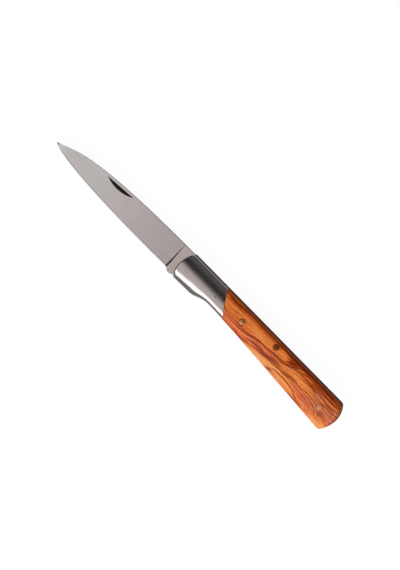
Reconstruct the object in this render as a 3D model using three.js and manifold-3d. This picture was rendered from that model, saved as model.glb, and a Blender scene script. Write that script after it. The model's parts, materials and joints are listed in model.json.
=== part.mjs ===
// Folding pocket knife with a slip joint, open and lying on its side.
// Millimetres. X runs along the handle, from the point at -X to the butt at +X. +Y is the back
// of the knife, the side of the spring, and -Y is the side of the cutting edge. +Z is the mark
// side, the side with the nail nick. The knife is drawn round its pivot and set down at the end.
import * as THREE from 'three';
import { mergeVertices } from 'three/addons/utils/BufferGeometryUtils.js';
import Module from 'manifold-3d';

// Blade: reach and thickness
const POINT_REACH = 93;           // pivot to point
const BLADE_THICKNESS = 2.5;      // at the ricasso
const POINT_THICKNESS = 0.7;      // of the spine at the point
const POINT_HEIGHT = 0.2;         // of the blunt end of the point
const HEEL_DEPTH = 5.0;           // edge below the pivot at the heel
const HEEL_SET = 8.75;            // pivot forward to the end of the edge

// Blade: the curves of the spine and of the edge, as reaches of their handles from the point
const SPINE_RISE = new THREE.Vector2(12.6, 4.7);
const SPINE_SHOULDER = 17.2;
const SPINE_SHOULDER_FALL = 0.2;  // below the back of the knife
const EDGE_BELLY = new THREE.Vector2(10.6, -6.1);
const EDGE_STRAIGHT = new THREE.Vector2(7.0, -0.12); // from the heel, forward and down

// Blade: grind
const EDGE_THICKNESS = 0.08;
const BEVEL_THICKNESS = 0.68;     // at the top of the edge bevel
const BEVEL_WIDTH = 0.6;
const GRIND_STEP = 0.03;          // each side, where the grind runs out at the spine
const PLUNGE_RUN = 1.25;          // length of the plunge at the heel
const PLUNGE_END = 0.2;           // length of the plunge at the spine
const PLUNGE_LEAN = 1.2;          // toward the point, at the spine

// Blade: nail nick on the mark side
const NICK_LENGTH = 17.4;
const NICK_WIDTH = 2.4;
const NICK_DEPTH = 0.65;
const NICK_SET = 54.5;            // pivot forward to its middle
const NICK_BELOW_BACK = 2.85;
const NICK_SLOPE = THREE.MathUtils.degToRad(4.3);

// Tang: what the spring bears on, as distances from the pivot
const SEAT_HEIGHT = 5.45;         // flats of the tang, blade open and closed
const SEAT_REACH = 3.2;           // length of the closed flat ahead of the pivot
const TANG_RADIUS = 5.8;          // round end that lifts the spring on the way
const KICK_HEIGHT = 6.25;
const KICK_SET = 6.3;
const KICK_END = 8.55;
const SEAT_CLEARANCE = 0.05;

// Spring
const SPRING_FRONT = 2.0;         // its end, ahead of the pivot
const NIB_LENGTH = 3.0;
const NIB_RAMP = 1.2;
const SWELL_START = 12;           // of the swell round the middle pin, ahead of the pin
const POINT_CLEARANCE = 1.2;      // closed point to the tail of the spring
const EDGE_CLEARANCE = 0.15;      // closed edge to the swell of the spring
const TAIL_SHOULDER = 2.8;        // corner of the tail that the closed point lies in front of
const TAIL_SHOULDER_HEIGHT = 3.3;
const TAIL_FACE_HEIGHT = 1.4;

// Handle: thicknesses
const BLADE_PLAY = 0.05;          // blade to liner, each side
const LINER_THICKNESS = 1.2;
const SCALE_THICKNESS = 3.25;     // at the flat of the crown, bolster and scale alike
const BACK_DROP = 1.0;            // crown below the flat, at the back
const BELLY_DROP = 1.6;           // crown below the flat, at the belly
const CROWN_WIDTH = 5.2;
const LAND_MIN = 1.0;             // least half width of the flat between the two crowns

// Handle: outline
const BACK_HEIGHT = 9.95;
const BACK_FALL = 0.35;           // of the back, from the pivot to the butt
const FRONT_REACH = 5.3;          // pivot forward to the crown of the bolster's front
const FRONT_RADIUS = 13.2;
const FRONT_CENTRE_HEIGHT = 2.1;
const BOLSTER_DEPTH = 5.75;       // belly of the bolster below the pivot
const BOLSTER_RISE = 0.2;
const BOLSTER_FLAT_END = 8.2;
const WAIST_SET = 20.0;           // behind the pivot
const WAIST_DEPTH = 2.65;
const BUTT_DEPTH = 7.75;
const BUTT_MARGIN = 10.4;         // rear pin to butt
const BUTT_RADIUS = 12.6;
const BUTT_CENTRE_HEIGHT = 0.8;
const BUTT_CORNER = 1.1;
const MITRE_BACK = 21.3;          // joint of bolster and scale, at the back
const MITRE_BELLY = 29.9;         // and at the depth of the waist
const MITRE_GAP = 0.04;

// Pins
const PIVOT_DIAMETER = 3.0;
const PIVOT_CLEARANCE = 0.05;
const PIN_DIAMETER = 3.1;
const PIN_CLEARANCE = 0.02;
const SPRING_PIN_WALL = 0.35;     // spring metal between the pin and the blade's room
const REAR_PIN_WALL = 0.83;
const SPRING_PIN_SET = 59.7;
const REAR_PIN_HEIGHT = 0.85;
const SCALE_PIN = new THREE.Vector2(38.4, 3.4);
const BOLSTER_PIN = new THREE.Vector2(19.6, 2.0);
const BOLSTER_PIN_DIAMETER = 2.0;

// Fineness of the facets
const PIN_SIDES = 24;
const CURVE_STEPS = 16;
const CROWN_STEPS = 5;
const GRIND_STATIONS = 22;
const NICK_FACETS = 260;

// Worked out from the values above
const SLOT = BLADE_THICKNESS + 2 * BLADE_PLAY;
const LINER_OUTSIDE = SLOT / 2 + LINER_THICKNESS;
const HALF_THICKNESS = LINER_OUTSIDE + SCALE_THICKNESS;
const PIN_HOLE = PIN_DIAMETER / 2 + PIN_CLEARANCE;
const TAIL_FACE = POINT_REACH + POINT_CLEARANCE;
const REAR_PIN_SET = TAIL_FACE + REAR_PIN_WALL + PIN_HOLE;
const BUTT_REACH = REAR_PIN_SET + BUTT_MARGIN;
const BLANK_FRONT = -FRONT_REACH - 2;
const BEYOND = 2 * (HALF_THICKNESS + BACK_HEIGHT); // how far a cutter reaches past what it cuts

const wasm = await Module();
wasm.setup();

// Solids and cuts

function toSolid(geometry) {
  const bare = geometry.clone();
  bare.deleteAttribute('normal');
  bare.deleteAttribute('uv');
  const merged = mergeVertices(bare, 1e-5);
  const vertProperties = merged.attributes.position.array;
  const triVerts = new Uint32Array(merged.index.array);
  return new wasm.Manifold(new wasm.Mesh({ numProp: 3, vertProperties, triVerts }));
}

function toGeometry(solid) {
  const { vertProperties, triVerts } = solid.getMesh();
  const geometry = new THREE.BufferGeometry();
  geometry.setAttribute('position', new THREE.BufferAttribute(vertProperties, 3));
  geometry.setIndex(new THREE.BufferAttribute(triVerts, 1));
  geometry.computeVertexNormals();
  return geometry;
}

function fromTriangles(positions, index) {
  const geometry = new THREE.BufferGeometry();
  geometry.setAttribute('position', new THREE.Float32BufferAttribute(positions, 3));
  geometry.setIndex(index);
  return geometry;
}

// The same shape for the other side of the knife
function mirrored(geometry) {
  const other = geometry.clone().scale(1, 1, -1);
  const index = other.index.array;
  for (let i = 0; i < index.length; i += 3) {
    [index[i + 1], index[i + 2]] = [index[i + 2], index[i + 1]];
  }
  return other;
}

// A plate with its outline in plan, between two heights
function plate(outline, low, high) {
  const settings = { depth: high - low, bevelEnabled: false };
  const geometry = new THREE.ExtrudeGeometry(new THREE.Shape(outline), settings);
  return toSolid(geometry.translate(0, 0, low));
}

// A cutter with its outline in plan that reaches right through the knife
function cutter(outline) {
  return plate(outline, -BEYOND, BEYOND);
}

function rod(x, y, radius, low = -BEYOND, high = BEYOND) {
  const geometry = new THREE.CylinderGeometry(radius, radius, high - low, PIN_SIDES);
  geometry.rotateX(Math.PI / 2);
  return toSolid(geometry.translate(x, y, (low + high) / 2));
}

// A closed solid through closed rings of as many points each, from the lowest to the highest
function throughRings(rings) {
  const count = rings[0].length;
  const positions = rings.flat().flatMap((p) => [p.x, p.y, p.z]);
  const index = [];
  for (let r = 0; r + 1 < rings.length; r++) {
    for (let j = 0; j < count; j++) {
      const a = r * count + j;
      const b = r * count + ((j + 1) % count);
      index.push(a, b, b + count, a, b + count, a + count);
    }
  }
  const last = (rings.length - 1) * count;
  for (const [a, b, c] of THREE.ShapeUtils.triangulateShape(rings[0], [])) index.push(a, c, b);
  for (const [a, b, c] of THREE.ShapeUtils.triangulateShape(rings.at(-1), [])) {
    index.push(last + a, last + b, last + c);
  }
  return toSolid(fromTriangles(positions, index));
}

// Curves of the knife

const backY = (x) => BACK_HEIGHT - (BACK_FALL * x) / BUTT_REACH;

const spineCurve = new THREE.CubicBezierCurve(
  new THREE.Vector2(-POINT_REACH, POINT_HEIGHT / 2),
  new THREE.Vector2(-POINT_REACH + SPINE_RISE.x, SPINE_RISE.y),
  new THREE.Vector2(-POINT_REACH + SPINE_SHOULDER, BACK_HEIGHT - SPINE_SHOULDER_FALL),
  new THREE.Vector2(-SPRING_FRONT - SEAT_CLEARANCE, backY(-SPRING_FRONT)),
);

const edgeCurve = new THREE.CubicBezierCurve(
  new THREE.Vector2(-POINT_REACH, -POINT_HEIGHT / 2),
  new THREE.Vector2(-POINT_REACH + EDGE_BELLY.x, EDGE_BELLY.y),
  new THREE.Vector2(-HEEL_SET - EDGE_STRAIGHT.x, -HEEL_DEPTH + EDGE_STRAIGHT.y),
  new THREE.Vector2(-HEEL_SET, -HEEL_DEPTH),
);

// Height of a curve that only runs one way, at a given x
function heightOn(curve, x) {
  let low = 0;
  let high = 1;
  for (let i = 0; i < 40; i++) {
    const middle = (low + high) / 2;
    if (curve.getPoint(middle).x < x) low = middle;
    else high = middle;
  }
  return curve.getPoint(low).y;
}

// The closed blade is the open one turned half round the pivot
const closedEdgeY = (x) => -heightOn(edgeCurve, -x);

const springPin = new THREE.Vector2(
  SPRING_PIN_SET,
  closedEdgeY(SPRING_PIN_SET) + EDGE_CLEARANCE + SPRING_PIN_WALL + PIN_HOLE,
);
const rearPin = new THREE.Vector2(REAR_PIN_SET, REAR_PIN_HEIGHT);

const buttCentre = new THREE.Vector2(BUTT_REACH - BUTT_RADIUS, BUTT_CENTRE_HEIGHT);

// Where the butt's arc, or one inside it, reaches a height
function buttAngle(y, radius = BUTT_RADIUS) {
  return Math.asin((y - buttCentre.y) / radius);
}

function onButt(angle, radius = BUTT_RADIUS) {
  return new THREE.Vector2(radius * Math.cos(angle), radius * Math.sin(angle)).add(buttCentre);
}

const bellyCorner = onButt(buttAngle(-BUTT_DEPTH));
const backCorner = onButt(buttAngle(backY(bellyCorner.x)));

function bellyPoints() {
  const end = new THREE.Vector2(bellyCorner.x - BUTT_CORNER, -BUTT_DEPTH);
  const flatEnd = new THREE.Vector2(BOLSTER_FLAT_END, -BOLSTER_DEPTH + BOLSTER_RISE);
  const run = end.x - WAIST_SET;
  const fall = BUTT_DEPTH - WAIST_DEPTH;
  const belly = new THREE.Path();
  belly.moveTo(BLANK_FRONT, -BOLSTER_DEPTH);
  belly.lineTo(flatEnd.x, flatEnd.y);
  belly.bezierCurveTo(
    flatEnd.x + 4.5, flatEnd.y + 0.1,
    WAIST_SET - 6, -WAIST_DEPTH,
    WAIST_SET, -WAIST_DEPTH,
  );
  belly.bezierCurveTo(
    WAIST_SET + 0.13 * run, -WAIST_DEPTH,
    end.x - 0.57 * run, end.y + 0.65 * fall,
    end.x, end.y,
  );
  return belly.getPoints(CURVE_STEPS);
}

function buttPoints() {
  const corner = BUTT_CORNER / BUTT_RADIUS;
  const from = buttAngle(bellyCorner.y) + corner;
  const to = buttAngle(backCorner.y) - corner;
  const start = onButt(from);
  const butt = new THREE.Path();
  butt.moveTo(bellyCorner.x - BUTT_CORNER, bellyCorner.y);
  butt.quadraticCurveTo(bellyCorner.x, bellyCorner.y, start.x, start.y);
  butt.absarc(buttCentre.x, buttCentre.y, BUTT_RADIUS, from, to, false);
  const backEnd = backCorner.x - BUTT_CORNER;
  butt.quadraticCurveTo(backCorner.x, backCorner.y, backEnd, backY(backEnd));
  return butt.getPoints(CURVE_STEPS / 2);
}

const belly = bellyPoints();
const butt = buttPoints();
const back = [new THREE.Vector2(BLANK_FRONT, backY(BLANK_FRONT))];

// The handle's outline, anticlockwise, square at the front until the front arc trims it
const handleOutline = [...belly, ...butt.slice(1), ...back];

// Half of the handle's outside above a given height, crowned toward the back, belly and butt
function crownedHalf(baseZ) {
  const inset = (p) => Math.min(CROWN_WIDTH, (backY(p.x) + -p.y) / 2 - LAND_MIN);
  const bellyEnd = belly.at(-1);
  const width = inset(bellyEnd);
  const radius = BUTT_RADIUS - width;
  const lowAngle = buttAngle(bellyEnd.y + width, radius);
  const highAngle = buttAngle(backCorner.y - width, radius);
  const landEnd = onButt(lowAngle, radius);
  const shrink = (landEnd.x - BLANK_FRONT) / (bellyEnd.x - BLANK_FRONT);
  const rim = [];
  for (const p of belly.slice(0, -1)) {
    const land = new THREE.Vector2(BLANK_FRONT + (p.x - BLANK_FRONT) * shrink, p.y + inset(p));
    rim.push({ outer: p, land, drop: BELLY_DROP });
  }
  butt.forEach((p, i) => {
    const share = i / (butt.length - 1);
    const land = onButt(THREE.MathUtils.lerp(lowAngle, highAngle, share), radius);
    rim.push({ outer: p, land, drop: THREE.MathUtils.lerp(BELLY_DROP, BACK_DROP, share) });
  });
  for (const p of [...backFollowing(belly), ...back]) {
    const mate = new THREE.Vector2(p.x, bellyYAt(p.x));
    const land = new THREE.Vector2(BLANK_FRONT + (p.x - BLANK_FRONT) * shrink, p.y - inset(mate));
    rim.push({ outer: p, land, drop: BACK_DROP });
  }
  const ring = (height, place) => rim.map(({ outer, land, drop }) => {
    const p = outer.clone().lerp(land, place);
    return new THREE.Vector3(p.x, p.y, height ?? HALF_THICKNESS - drop * (1 - place) ** 2);
  });
  const rings = [ring(baseZ, 0)];
  for (let step = 0; step <= CROWN_STEPS; step++) rings.push(ring(null, step / CROWN_STEPS));
  return throughRings(rings);
}

// Points on the back across from the belly's points, from the butt forward
function backFollowing(points) {
  const across = points.slice(1, -1).reverse();
  return across.map((p) => new THREE.Vector2(p.x, backY(p.x)));
}

function bellyYAt(x) {
  const next = belly.findIndex((p) => p.x > x);
  if (next < 1) return belly[0].y;
  const [a, b] = [belly[next - 1], belly[next]];
  return THREE.MathUtils.lerp(a.y, b.y, (x - a.x) / (b.x - a.x));
}

// Cutters

// What lies ahead of the bolster's round front
function frontCutter() {
  const centreX = FRONT_RADIUS - FRONT_REACH;
  const spread = THREE.MathUtils.degToRad(55);
  const shape = new THREE.Shape();
  shape.absarc(centreX, FRONT_CENTRE_HEIGHT, FRONT_RADIUS, Math.PI - spread, Math.PI + spread);
  shape.lineTo(-BEYOND, -BEYOND);
  shape.lineTo(-BEYOND, BEYOND);
  return cutter(shape.getPoints(CURVE_STEPS));
}

// What lies behind the mitre, or ahead of it, that far from it
function mitreCutter(side, gap) {
  const slope = (MITRE_BACK - MITRE_BELLY) / (BACK_HEIGHT + WAIST_DEPTH);
  const at = (y) => new THREE.Vector2(MITRE_BELLY + slope * (y + WAIST_DEPTH) + gap, y);
  const far = side * (BUTT_REACH + BEYOND);
  const corners = [
    at(-BEYOND),
    new THREE.Vector2(far, -BEYOND),
    new THREE.Vector2(far, BEYOND),
    at(BEYOND),
  ];
  return cutter(side > 0 ? corners : corners.reverse());
}

// The blade's room between the liners: all that the spring must keep clear of
function bladeRoom() {
  const straightY = KICK_HEIGHT + SEAT_CLEARANCE;
  const nibY = SEAT_HEIGHT + SEAT_CLEARANCE;
  const swellY = springPin.y - PIN_HOLE - SPRING_PIN_WALL;
  const room = new THREE.Path();
  room.moveTo(-BEYOND, BEYOND);
  room.lineTo(-BEYOND, -BEYOND);
  room.lineTo(TAIL_FACE, -BEYOND);
  room.lineTo(TAIL_FACE, TAIL_FACE_HEIGHT);
  room.quadraticCurveTo(
    TAIL_FACE, TAIL_SHOULDER_HEIGHT,
    TAIL_FACE - TAIL_SHOULDER, TAIL_SHOULDER_HEIGHT,
  );
  room.lineTo(springPin.x, swellY);
  room.bezierCurveTo(
    springPin.x - SWELL_START / 2, swellY,
    springPin.x - SWELL_START / 2, straightY,
    springPin.x - SWELL_START, straightY,
  );
  room.lineTo(NIB_LENGTH - SPRING_FRONT + NIB_RAMP, straightY);
  room.lineTo(NIB_LENGTH - SPRING_FRONT, nibY);
  room.lineTo(-SPRING_FRONT, nibY);
  room.lineTo(-SPRING_FRONT, BEYOND);
  return cutter(room.getPoints(CURVE_STEPS).slice(0, -1).concat(room.currentPoint));
}

// Blade

// The tang's outline, from the heel of the edge round the tang to the end of the spine
function tangOutline() {
  const seatAngle = Math.asin(SEAT_HEIGHT / TANG_RADIUS);
  const tang = new THREE.Path();
  tang.moveTo(-KICK_END, -HEEL_DEPTH - 0.05);
  tang.bezierCurveTo(
    -KICK_END + 0.5, -KICK_HEIGHT + 0.15,
    -KICK_SET - 1.3, -KICK_HEIGHT,
    -KICK_SET, -KICK_HEIGHT,
  );
  tang.bezierCurveTo(
    -KICK_SET + 1.4, -KICK_HEIGHT,
    -SEAT_REACH - 1.2, -SEAT_HEIGHT,
    -SEAT_REACH, -SEAT_HEIGHT,
  );
  tang.lineTo(TANG_RADIUS * Math.cos(seatAngle), -SEAT_HEIGHT);
  tang.absarc(0, 0, TANG_RADIUS, -seatAngle, seatAngle, false);
  tang.lineTo(-SPRING_FRONT - SEAT_CLEARANCE, SEAT_HEIGHT);
  tang.lineTo(-SPRING_FRONT - SEAT_CLEARANCE, backY(-SPRING_FRONT));
  const points = tang.getPoints(CURVE_STEPS / 2);
  for (const x of [-5, -7, -9]) points.push(new THREE.Vector2(x, heightOn(spineCurve, x)));
  return points;
}

// Rows across the ground part of the blade, from the edge to the spine
const GRIND_ROWS = [0, null, 0.25, 0.5, 0.75, 1];

// One row of points across the blade at a station, with the half thickness of each
function grindColumn(station) {
  const share = station / GRIND_STATIONS;
  const reach = share ** 1.6;
  return GRIND_ROWS.map((row) => {
    const plunge = plungeX(row ?? 0);
    const x = THREE.MathUtils.lerp(-POINT_REACH, plunge.foot, reach);
    const low = heightOn(edgeCurve, x);
    const high = heightOn(spineCurve, x);
    const bevel = Math.min(BEVEL_WIDTH / (high - low), 0.2);
    const spineHalf = spineHalfThickness(x);
    const bevelHalf = Math.min(BEVEL_THICKNESS / 2, spineHalf * 0.6);
    const place = row ?? bevel;
    const half = row === 0
      ? EDGE_THICKNESS / 2
      : THREE.MathUtils.lerp(bevelHalf, spineHalf, (place - bevel) / (1 - bevel));
    return { x, y: THREE.MathUtils.lerp(low, high, place), half };
  });
}

// Half thickness of the ground blade along its spine, thinner toward the point
function spineHalfThickness(x) {
  const fromHeel = THREE.MathUtils.clamp((-HEEL_SET - x) / (POINT_REACH - HEEL_SET), 0, 1);
  const full = BLADE_THICKNESS / 2 - GRIND_STEP;
  return THREE.MathUtils.lerp(full, POINT_THICKNESS / 2, fromHeel ** 2);
}

// The plunge at a share of the way from edge to spine: where it leaves the grind, and its top
function plungeX(row) {
  const top = -HEEL_SET - PLUNGE_LEAN * row ** 1.3;
  return { top, foot: top - THREE.MathUtils.lerp(PLUNGE_RUN, PLUNGE_END, row) };
}

function bladeBlank() {
  const rows = GRIND_ROWS.length;
  const columns = [];
  for (let station = 0; station <= GRIND_STATIONS; station++) columns.push(grindColumn(station));
  columns.push(columns.at(-1).map(({ y }, r) => {
    const { top } = plungeX(GRIND_ROWS[r] ?? 0);
    return { x: top, y, half: BLADE_THICKNESS / 2 };
  }));
  columns.at(-1)[rows - 1].y = heightOn(spineCurve, columns.at(-1)[rows - 1].x);
  const tang = tangOutline();
  const points = columns.flat();
  for (const p of tang) points.push({ x: p.x, y: p.y, half: BLADE_THICKNESS / 2 });

  // Faces of the mark side: the grind, the plunge, and the flat of ricasso and tang
  const faces = [];
  for (let c = 0; c + 1 < columns.length; c++) {
    for (let r = 0; r + 1 < rows; r++) {
      const a = c * rows + r;
      faces.push([a, a + rows, a + rows + 1], [a, a + rows + 1, a + 1]);
    }
  }
  const plungeTop = [];
  for (let r = rows - 1; r >= 0; r--) plungeTop.push((columns.length - 1) * rows + r);
  const flat = [...plungeTop, ...tang.map((_, i) => columns.length * rows + i)];
  const flatOutline = flat.map((i) => new THREE.Vector2(points[i].x, points[i].y));
  for (const face of THREE.ShapeUtils.triangulateShape(flatOutline, [])) {
    faces.push(face.map((i) => flat[i]));
  }

  // The rim, anticlockwise: along the edge, round the tang, along the spine and down the point
  const rim = [];
  for (let c = 0; c < columns.length; c++) rim.push(c * rows);
  for (let i = 0; i < tang.length; i++) rim.push(columns.length * rows + i);
  for (let c = columns.length - 1; c >= 0; c--) rim.push(c * rows + rows - 1);
  for (let r = rows - 2; r > 0; r--) rim.push(r);

  const other = points.length;
  const positions = points.flatMap((p) => [p.x, p.y, p.half]);
  positions.push(...points.flatMap((p) => [p.x, p.y, -p.half]));
  const index = faces.flatMap(([a, b, c]) => [a, b, c, a + other, c + other, b + other]);
  rim.forEach((a, i) => {
    const b = rim[(i + 1) % rim.length];
    index.push(a + other, b + other, b, a + other, b, a);
  });
  return toSolid(fromTriangles(positions, index));
}

// The nick is what the rim of a large bevelled wheel cuts: steep toward the spine
function nailNick() {
  const radius = (NICK_LENGTH ** 2 / 4 + NICK_DEPTH ** 2) / (2 * NICK_DEPTH);
  const height = 2 * NICK_WIDTH;
  const small = radius - (height * NICK_DEPTH) / NICK_WIDTH;
  const wheel = new THREE.CylinderGeometry(radius, small, height, NICK_FACETS);
  const y = backY(0) - NICK_BELOW_BACK;
  const low = heightOn(edgeCurve, -NICK_SET);
  const high = heightOn(spineCurve, -NICK_SET);
  const place = (y - low) / (high - low);
  const face = THREE.MathUtils.lerp(BEVEL_THICKNESS / 2, spineHalfThickness(-NICK_SET), place);
  wheel.translate(0, -height / 2, 0);
  wheel.rotateZ(NICK_SLOPE);
  return toSolid(wheel.translate(-NICK_SET, y, face + radius - NICK_DEPTH));
}

function makeBlade() {
  const hole = rod(0, 0, PIVOT_DIAMETER / 2 + PIVOT_CLEARANCE);
  return toGeometry(bladeBlank().subtract(nailNick()).subtract(hole));
}

// Handle

const front = frontCutter();
const pivotHole = rod(0, 0, PIVOT_DIAMETER / 2 + PIN_CLEARANCE);
const bolsterPinHole = rod(BOLSTER_PIN.x, BOLSTER_PIN.y, BOLSTER_PIN_DIAMETER / 2 + PIN_CLEARANCE);
const scalePinHole = rod(SCALE_PIN.x, SCALE_PIN.y, PIN_HOLE);
const springPinHole = rod(springPin.x, springPin.y, PIN_HOLE);
const rearPinHole = rod(rearPin.x, rearPin.y, PIN_HOLE);
const outside = crownedHalf(0).add(toSolid(mirrored(toGeometry(crownedHalf(0)))));

function makeSpring() {
  const blank = plate(handleOutline, -SLOT / 2, SLOT / 2);
  return toGeometry(blank.subtract(bladeRoom()).subtract(springPinHole).subtract(rearPinHole));
}

function makeLiner() {
  let liner = plate(handleOutline, SLOT / 2, LINER_OUTSIDE).subtract(front);
  for (const hole of [pivotHole, bolsterPinHole, scalePinHole, springPinHole, rearPinHole]) {
    liner = liner.subtract(hole);
  }
  return toGeometry(liner);
}

function makeBolster() {
  const blank = crownedHalf(LINER_OUTSIDE).subtract(front).subtract(mitreCutter(1, 0));
  return toGeometry(blank.subtract(pivotHole).subtract(bolsterPinHole));
}

function makeScale() {
  const blank = crownedHalf(LINER_OUTSIDE).subtract(mitreCutter(-1, MITRE_GAP));
  return toGeometry(blank.subtract(scalePinHole).subtract(springPinHole).subtract(rearPinHole));
}

// A pin right through the handle, filed flush with the crowned outside
function makeThroughPin(place, diameter) {
  return toGeometry(rod(place.x, place.y, diameter / 2).intersect(outside));
}

// A short rivet through one liner and what it carries, clear of the blade's slot
function makeRivet(place, diameter) {
  const blank = rod(place.x, place.y, diameter / 2, SLOT / 2, BEYOND);
  return toGeometry(blank.intersect(outside));
}

// Materials

const finish = (color, metalness, roughness) =>
  new THREE.MeshStandardMaterial({ color, metalness, roughness });
const bladeSteel = finish(0xb6b0ae, 1.0, 0.38);
const springSteel = finish(0x9c9a98, 1.0, 0.3);
const polishedSteel = finish(0xa8a5a5, 1.0, 0.12);
const brass = finish(0xa8814a, 1.0, 0.35);
const oliveWood = finish(0xb9622a, 0.0, 0.4);

// Assembly

const knife = new THREE.Group();

function addPiece(name, geometry, material) {
  const mesh = new THREE.Mesh(geometry, material);
  mesh.name = name;
  knife.add(mesh);
}

function addPair(name, geometry, material) {
  addPiece(`mark_side_${name}`, geometry, material);
  addPiece(`pile_side_${name}`, mirrored(geometry), material.clone());
}

const pivot = new THREE.Vector2(0, 0);
addPiece('blade', makeBlade(), bladeSteel);
addPiece('back_spring', makeSpring(), springSteel);
addPair('liner', makeLiner(), springSteel.clone());
addPair('bolster', makeBolster(), polishedSteel);
addPair('scale', makeScale(), oliveWood);
addPiece('pivot_pin', makeThroughPin(pivot, PIVOT_DIAMETER), polishedSteel.clone());
addPiece('spring_pin', makeThroughPin(springPin, PIN_DIAMETER), brass);
addPiece('rear_pin', makeThroughPin(rearPin, PIN_DIAMETER), brass.clone());
addPair('scale_rivet', makeRivet(SCALE_PIN, PIN_DIAMETER), brass.clone());
addPair('bolster_rivet', makeRivet(BOLSTER_PIN, BOLSTER_PIN_DIAMETER), polishedSteel.clone());

// The knife lies on the flats of its pile side, with the middle of its plan at the origin
const bounds = new THREE.Box3().setFromObject(knife);
const middle = bounds.getCenter(new THREE.Vector3());
knife.position.set(-middle.x, -middle.y, -bounds.min.z);

export default knife;
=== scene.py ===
"""Folding pocket knife, lying open on a pale floor in soft studio light.

Sizes are millimetres in the knife's drawing frame, unless a name says otherwise. The pivot of the
blade is its zero, +X runs to the butt, +Y to the back of the knife and +Z out of the mark side,
the side with the nail nick. `Bench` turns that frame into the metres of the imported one.
"""

from __future__ import annotations

import json
import logging
import math
from collections.abc import Sequence
from dataclasses import dataclass, field, replace
from enum import Enum, IntEnum

import bmesh
import bpy
import numpy as np
from mathutils import Matrix, Vector

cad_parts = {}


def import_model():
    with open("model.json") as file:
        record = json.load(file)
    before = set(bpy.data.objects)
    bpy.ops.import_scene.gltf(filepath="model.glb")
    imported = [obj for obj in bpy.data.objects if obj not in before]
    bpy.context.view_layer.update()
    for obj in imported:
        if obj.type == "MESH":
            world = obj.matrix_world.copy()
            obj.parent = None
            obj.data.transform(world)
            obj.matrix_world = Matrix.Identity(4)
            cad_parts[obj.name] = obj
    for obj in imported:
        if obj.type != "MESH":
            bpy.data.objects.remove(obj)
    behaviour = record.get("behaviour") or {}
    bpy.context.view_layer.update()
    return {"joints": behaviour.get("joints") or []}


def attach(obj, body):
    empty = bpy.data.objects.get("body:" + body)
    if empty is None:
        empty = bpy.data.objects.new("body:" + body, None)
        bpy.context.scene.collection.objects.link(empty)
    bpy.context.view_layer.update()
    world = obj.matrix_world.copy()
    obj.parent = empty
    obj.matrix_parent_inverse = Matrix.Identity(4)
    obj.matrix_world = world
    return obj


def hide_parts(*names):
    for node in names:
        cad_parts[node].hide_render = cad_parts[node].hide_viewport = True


LOG = logging.getLogger("pocket_knife")
MM = 0.001

Colour = tuple[float, float, float]
Point = tuple[float, float]
Ramp = tuple[float, float, float, float]
Solid = tuple[np.ndarray, list[list[int]]]
Socket = bpy.types.NodeSocket
Share = float | Socket

CORNER_STRETCH = 2.0
DRILL_SIDES = 96
LEAST_RISE = 1e-3

SCALE_RIVET: Point = (38.4, 3.4)
SPRING_PIN: Point = (59.7, 6.57)
REAR_PIN: Point = (96.6, 0.85)


class Side(Enum):
    """The two sides of the knife, as the sign of their height above its middle plane."""

    MARK = 1
    PILE = -1

    @property
    def word(self) -> str:
        """The side's name as pieces carry it."""
        return f"{self.name.lower()}_side"


class Tone(Enum):
    """The colours of the wood, from its lightest streak to its darkest vein, and two tones of painted
    shade for its walls.
    """

    HONEY = (0.98, 0.420, 0.135)
    GLOW = (1.00, 0.305, 0.060)
    ORANGE = (0.82, 0.172, 0.024)
    AMBER = (0.42, 0.050, 0.001)
    CLAY = (0.58, 0.140, 0.072)
    ROSE = (0.75, 0.138, 0.056)
    RUSSET = (0.32, 0.042, 0.010)
    BARK = (0.125, 0.013, 0.001)
    VEIN = (0.165, 0.020, 0.009)
    PLUM = (0.26, 0.045, 0.030)
    # Painted shade of the pile side's walls, next to the floor.
    SMOKE = (0.050, 0.016, 0.009)
    SALMON = (0.95, 0.46, 0.29)
    # Painted shade of the mark side's walls.
    SHADED_WALL = (0.38, 0.115, 0.060)


# Curves in plan


def bezier(corners: Sequence[Point], steps: int) -> np.ndarray:
    """Draws a quadratic or cubic curve.

    Args:
        corners: Its three or four control points.
        steps: How many stretches it is cut into.

    Returns:
        The points along it, one row each.
    """
    order = len(corners) - 1
    t = np.linspace(0, 1, steps + 1)[:, None]
    total = np.zeros((steps + 1, 2))
    for i, corner in enumerate(corners):
        total += math.comb(order, i) * (1 - t) ** (order - i) * t**i * np.array(corner)
    return total


def arc(centre: Point, radius: float, start: float, end: float, steps: int) -> np.ndarray:
    """Draws part of a circle.

    Args:
        centre: Its centre.
        radius: Its radius.
        start: The angle that it starts at, in radians.
        end: The angle that it ends at, in radians.
        steps: How many stretches it is cut into.

    Returns:
        The points along it, one row each.
    """
    angle = np.linspace(start, end, steps + 1)
    return np.array(centre) + radius * np.stack([np.cos(angle), np.sin(angle)], -1)


def chain(*curves: np.ndarray) -> np.ndarray:
    """Joins curves end to end.

    Args:
        curves: Curves that each start where the one before ends.

    Returns:
        One curve, with each shared point once.
    """
    parts = [curves[0]]
    for curve in curves[1:]:
        touching = np.allclose(parts[-1][-1], curve[0], atol=1e-6)
        parts.append(curve[1:] if touching else curve)
    return np.concatenate(parts)


def spread(curve: np.ndarray, shares: np.ndarray) -> np.ndarray:
    """Finds points at given shares of a curve's length.

    Args:
        curve: The points of the curve.
        shares: Shares from 0 to 1.

    Returns:
        One point for each share.
    """
    steps = np.linalg.norm(np.diff(curve, axis=0), axis=1)
    along = np.concatenate([[0], np.cumsum(steps)]) / steps.sum()
    return np.stack([np.interp(shares, along, curve[:, k]) for k in range(2)], -1)


def close_at_ends(count: int) -> np.ndarray:
    """Gives count + 1 shares from 0 to 1 that crowd together at both ends."""
    return (1 - np.cos(np.linspace(0, math.pi, count + 1))) / 2


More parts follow.
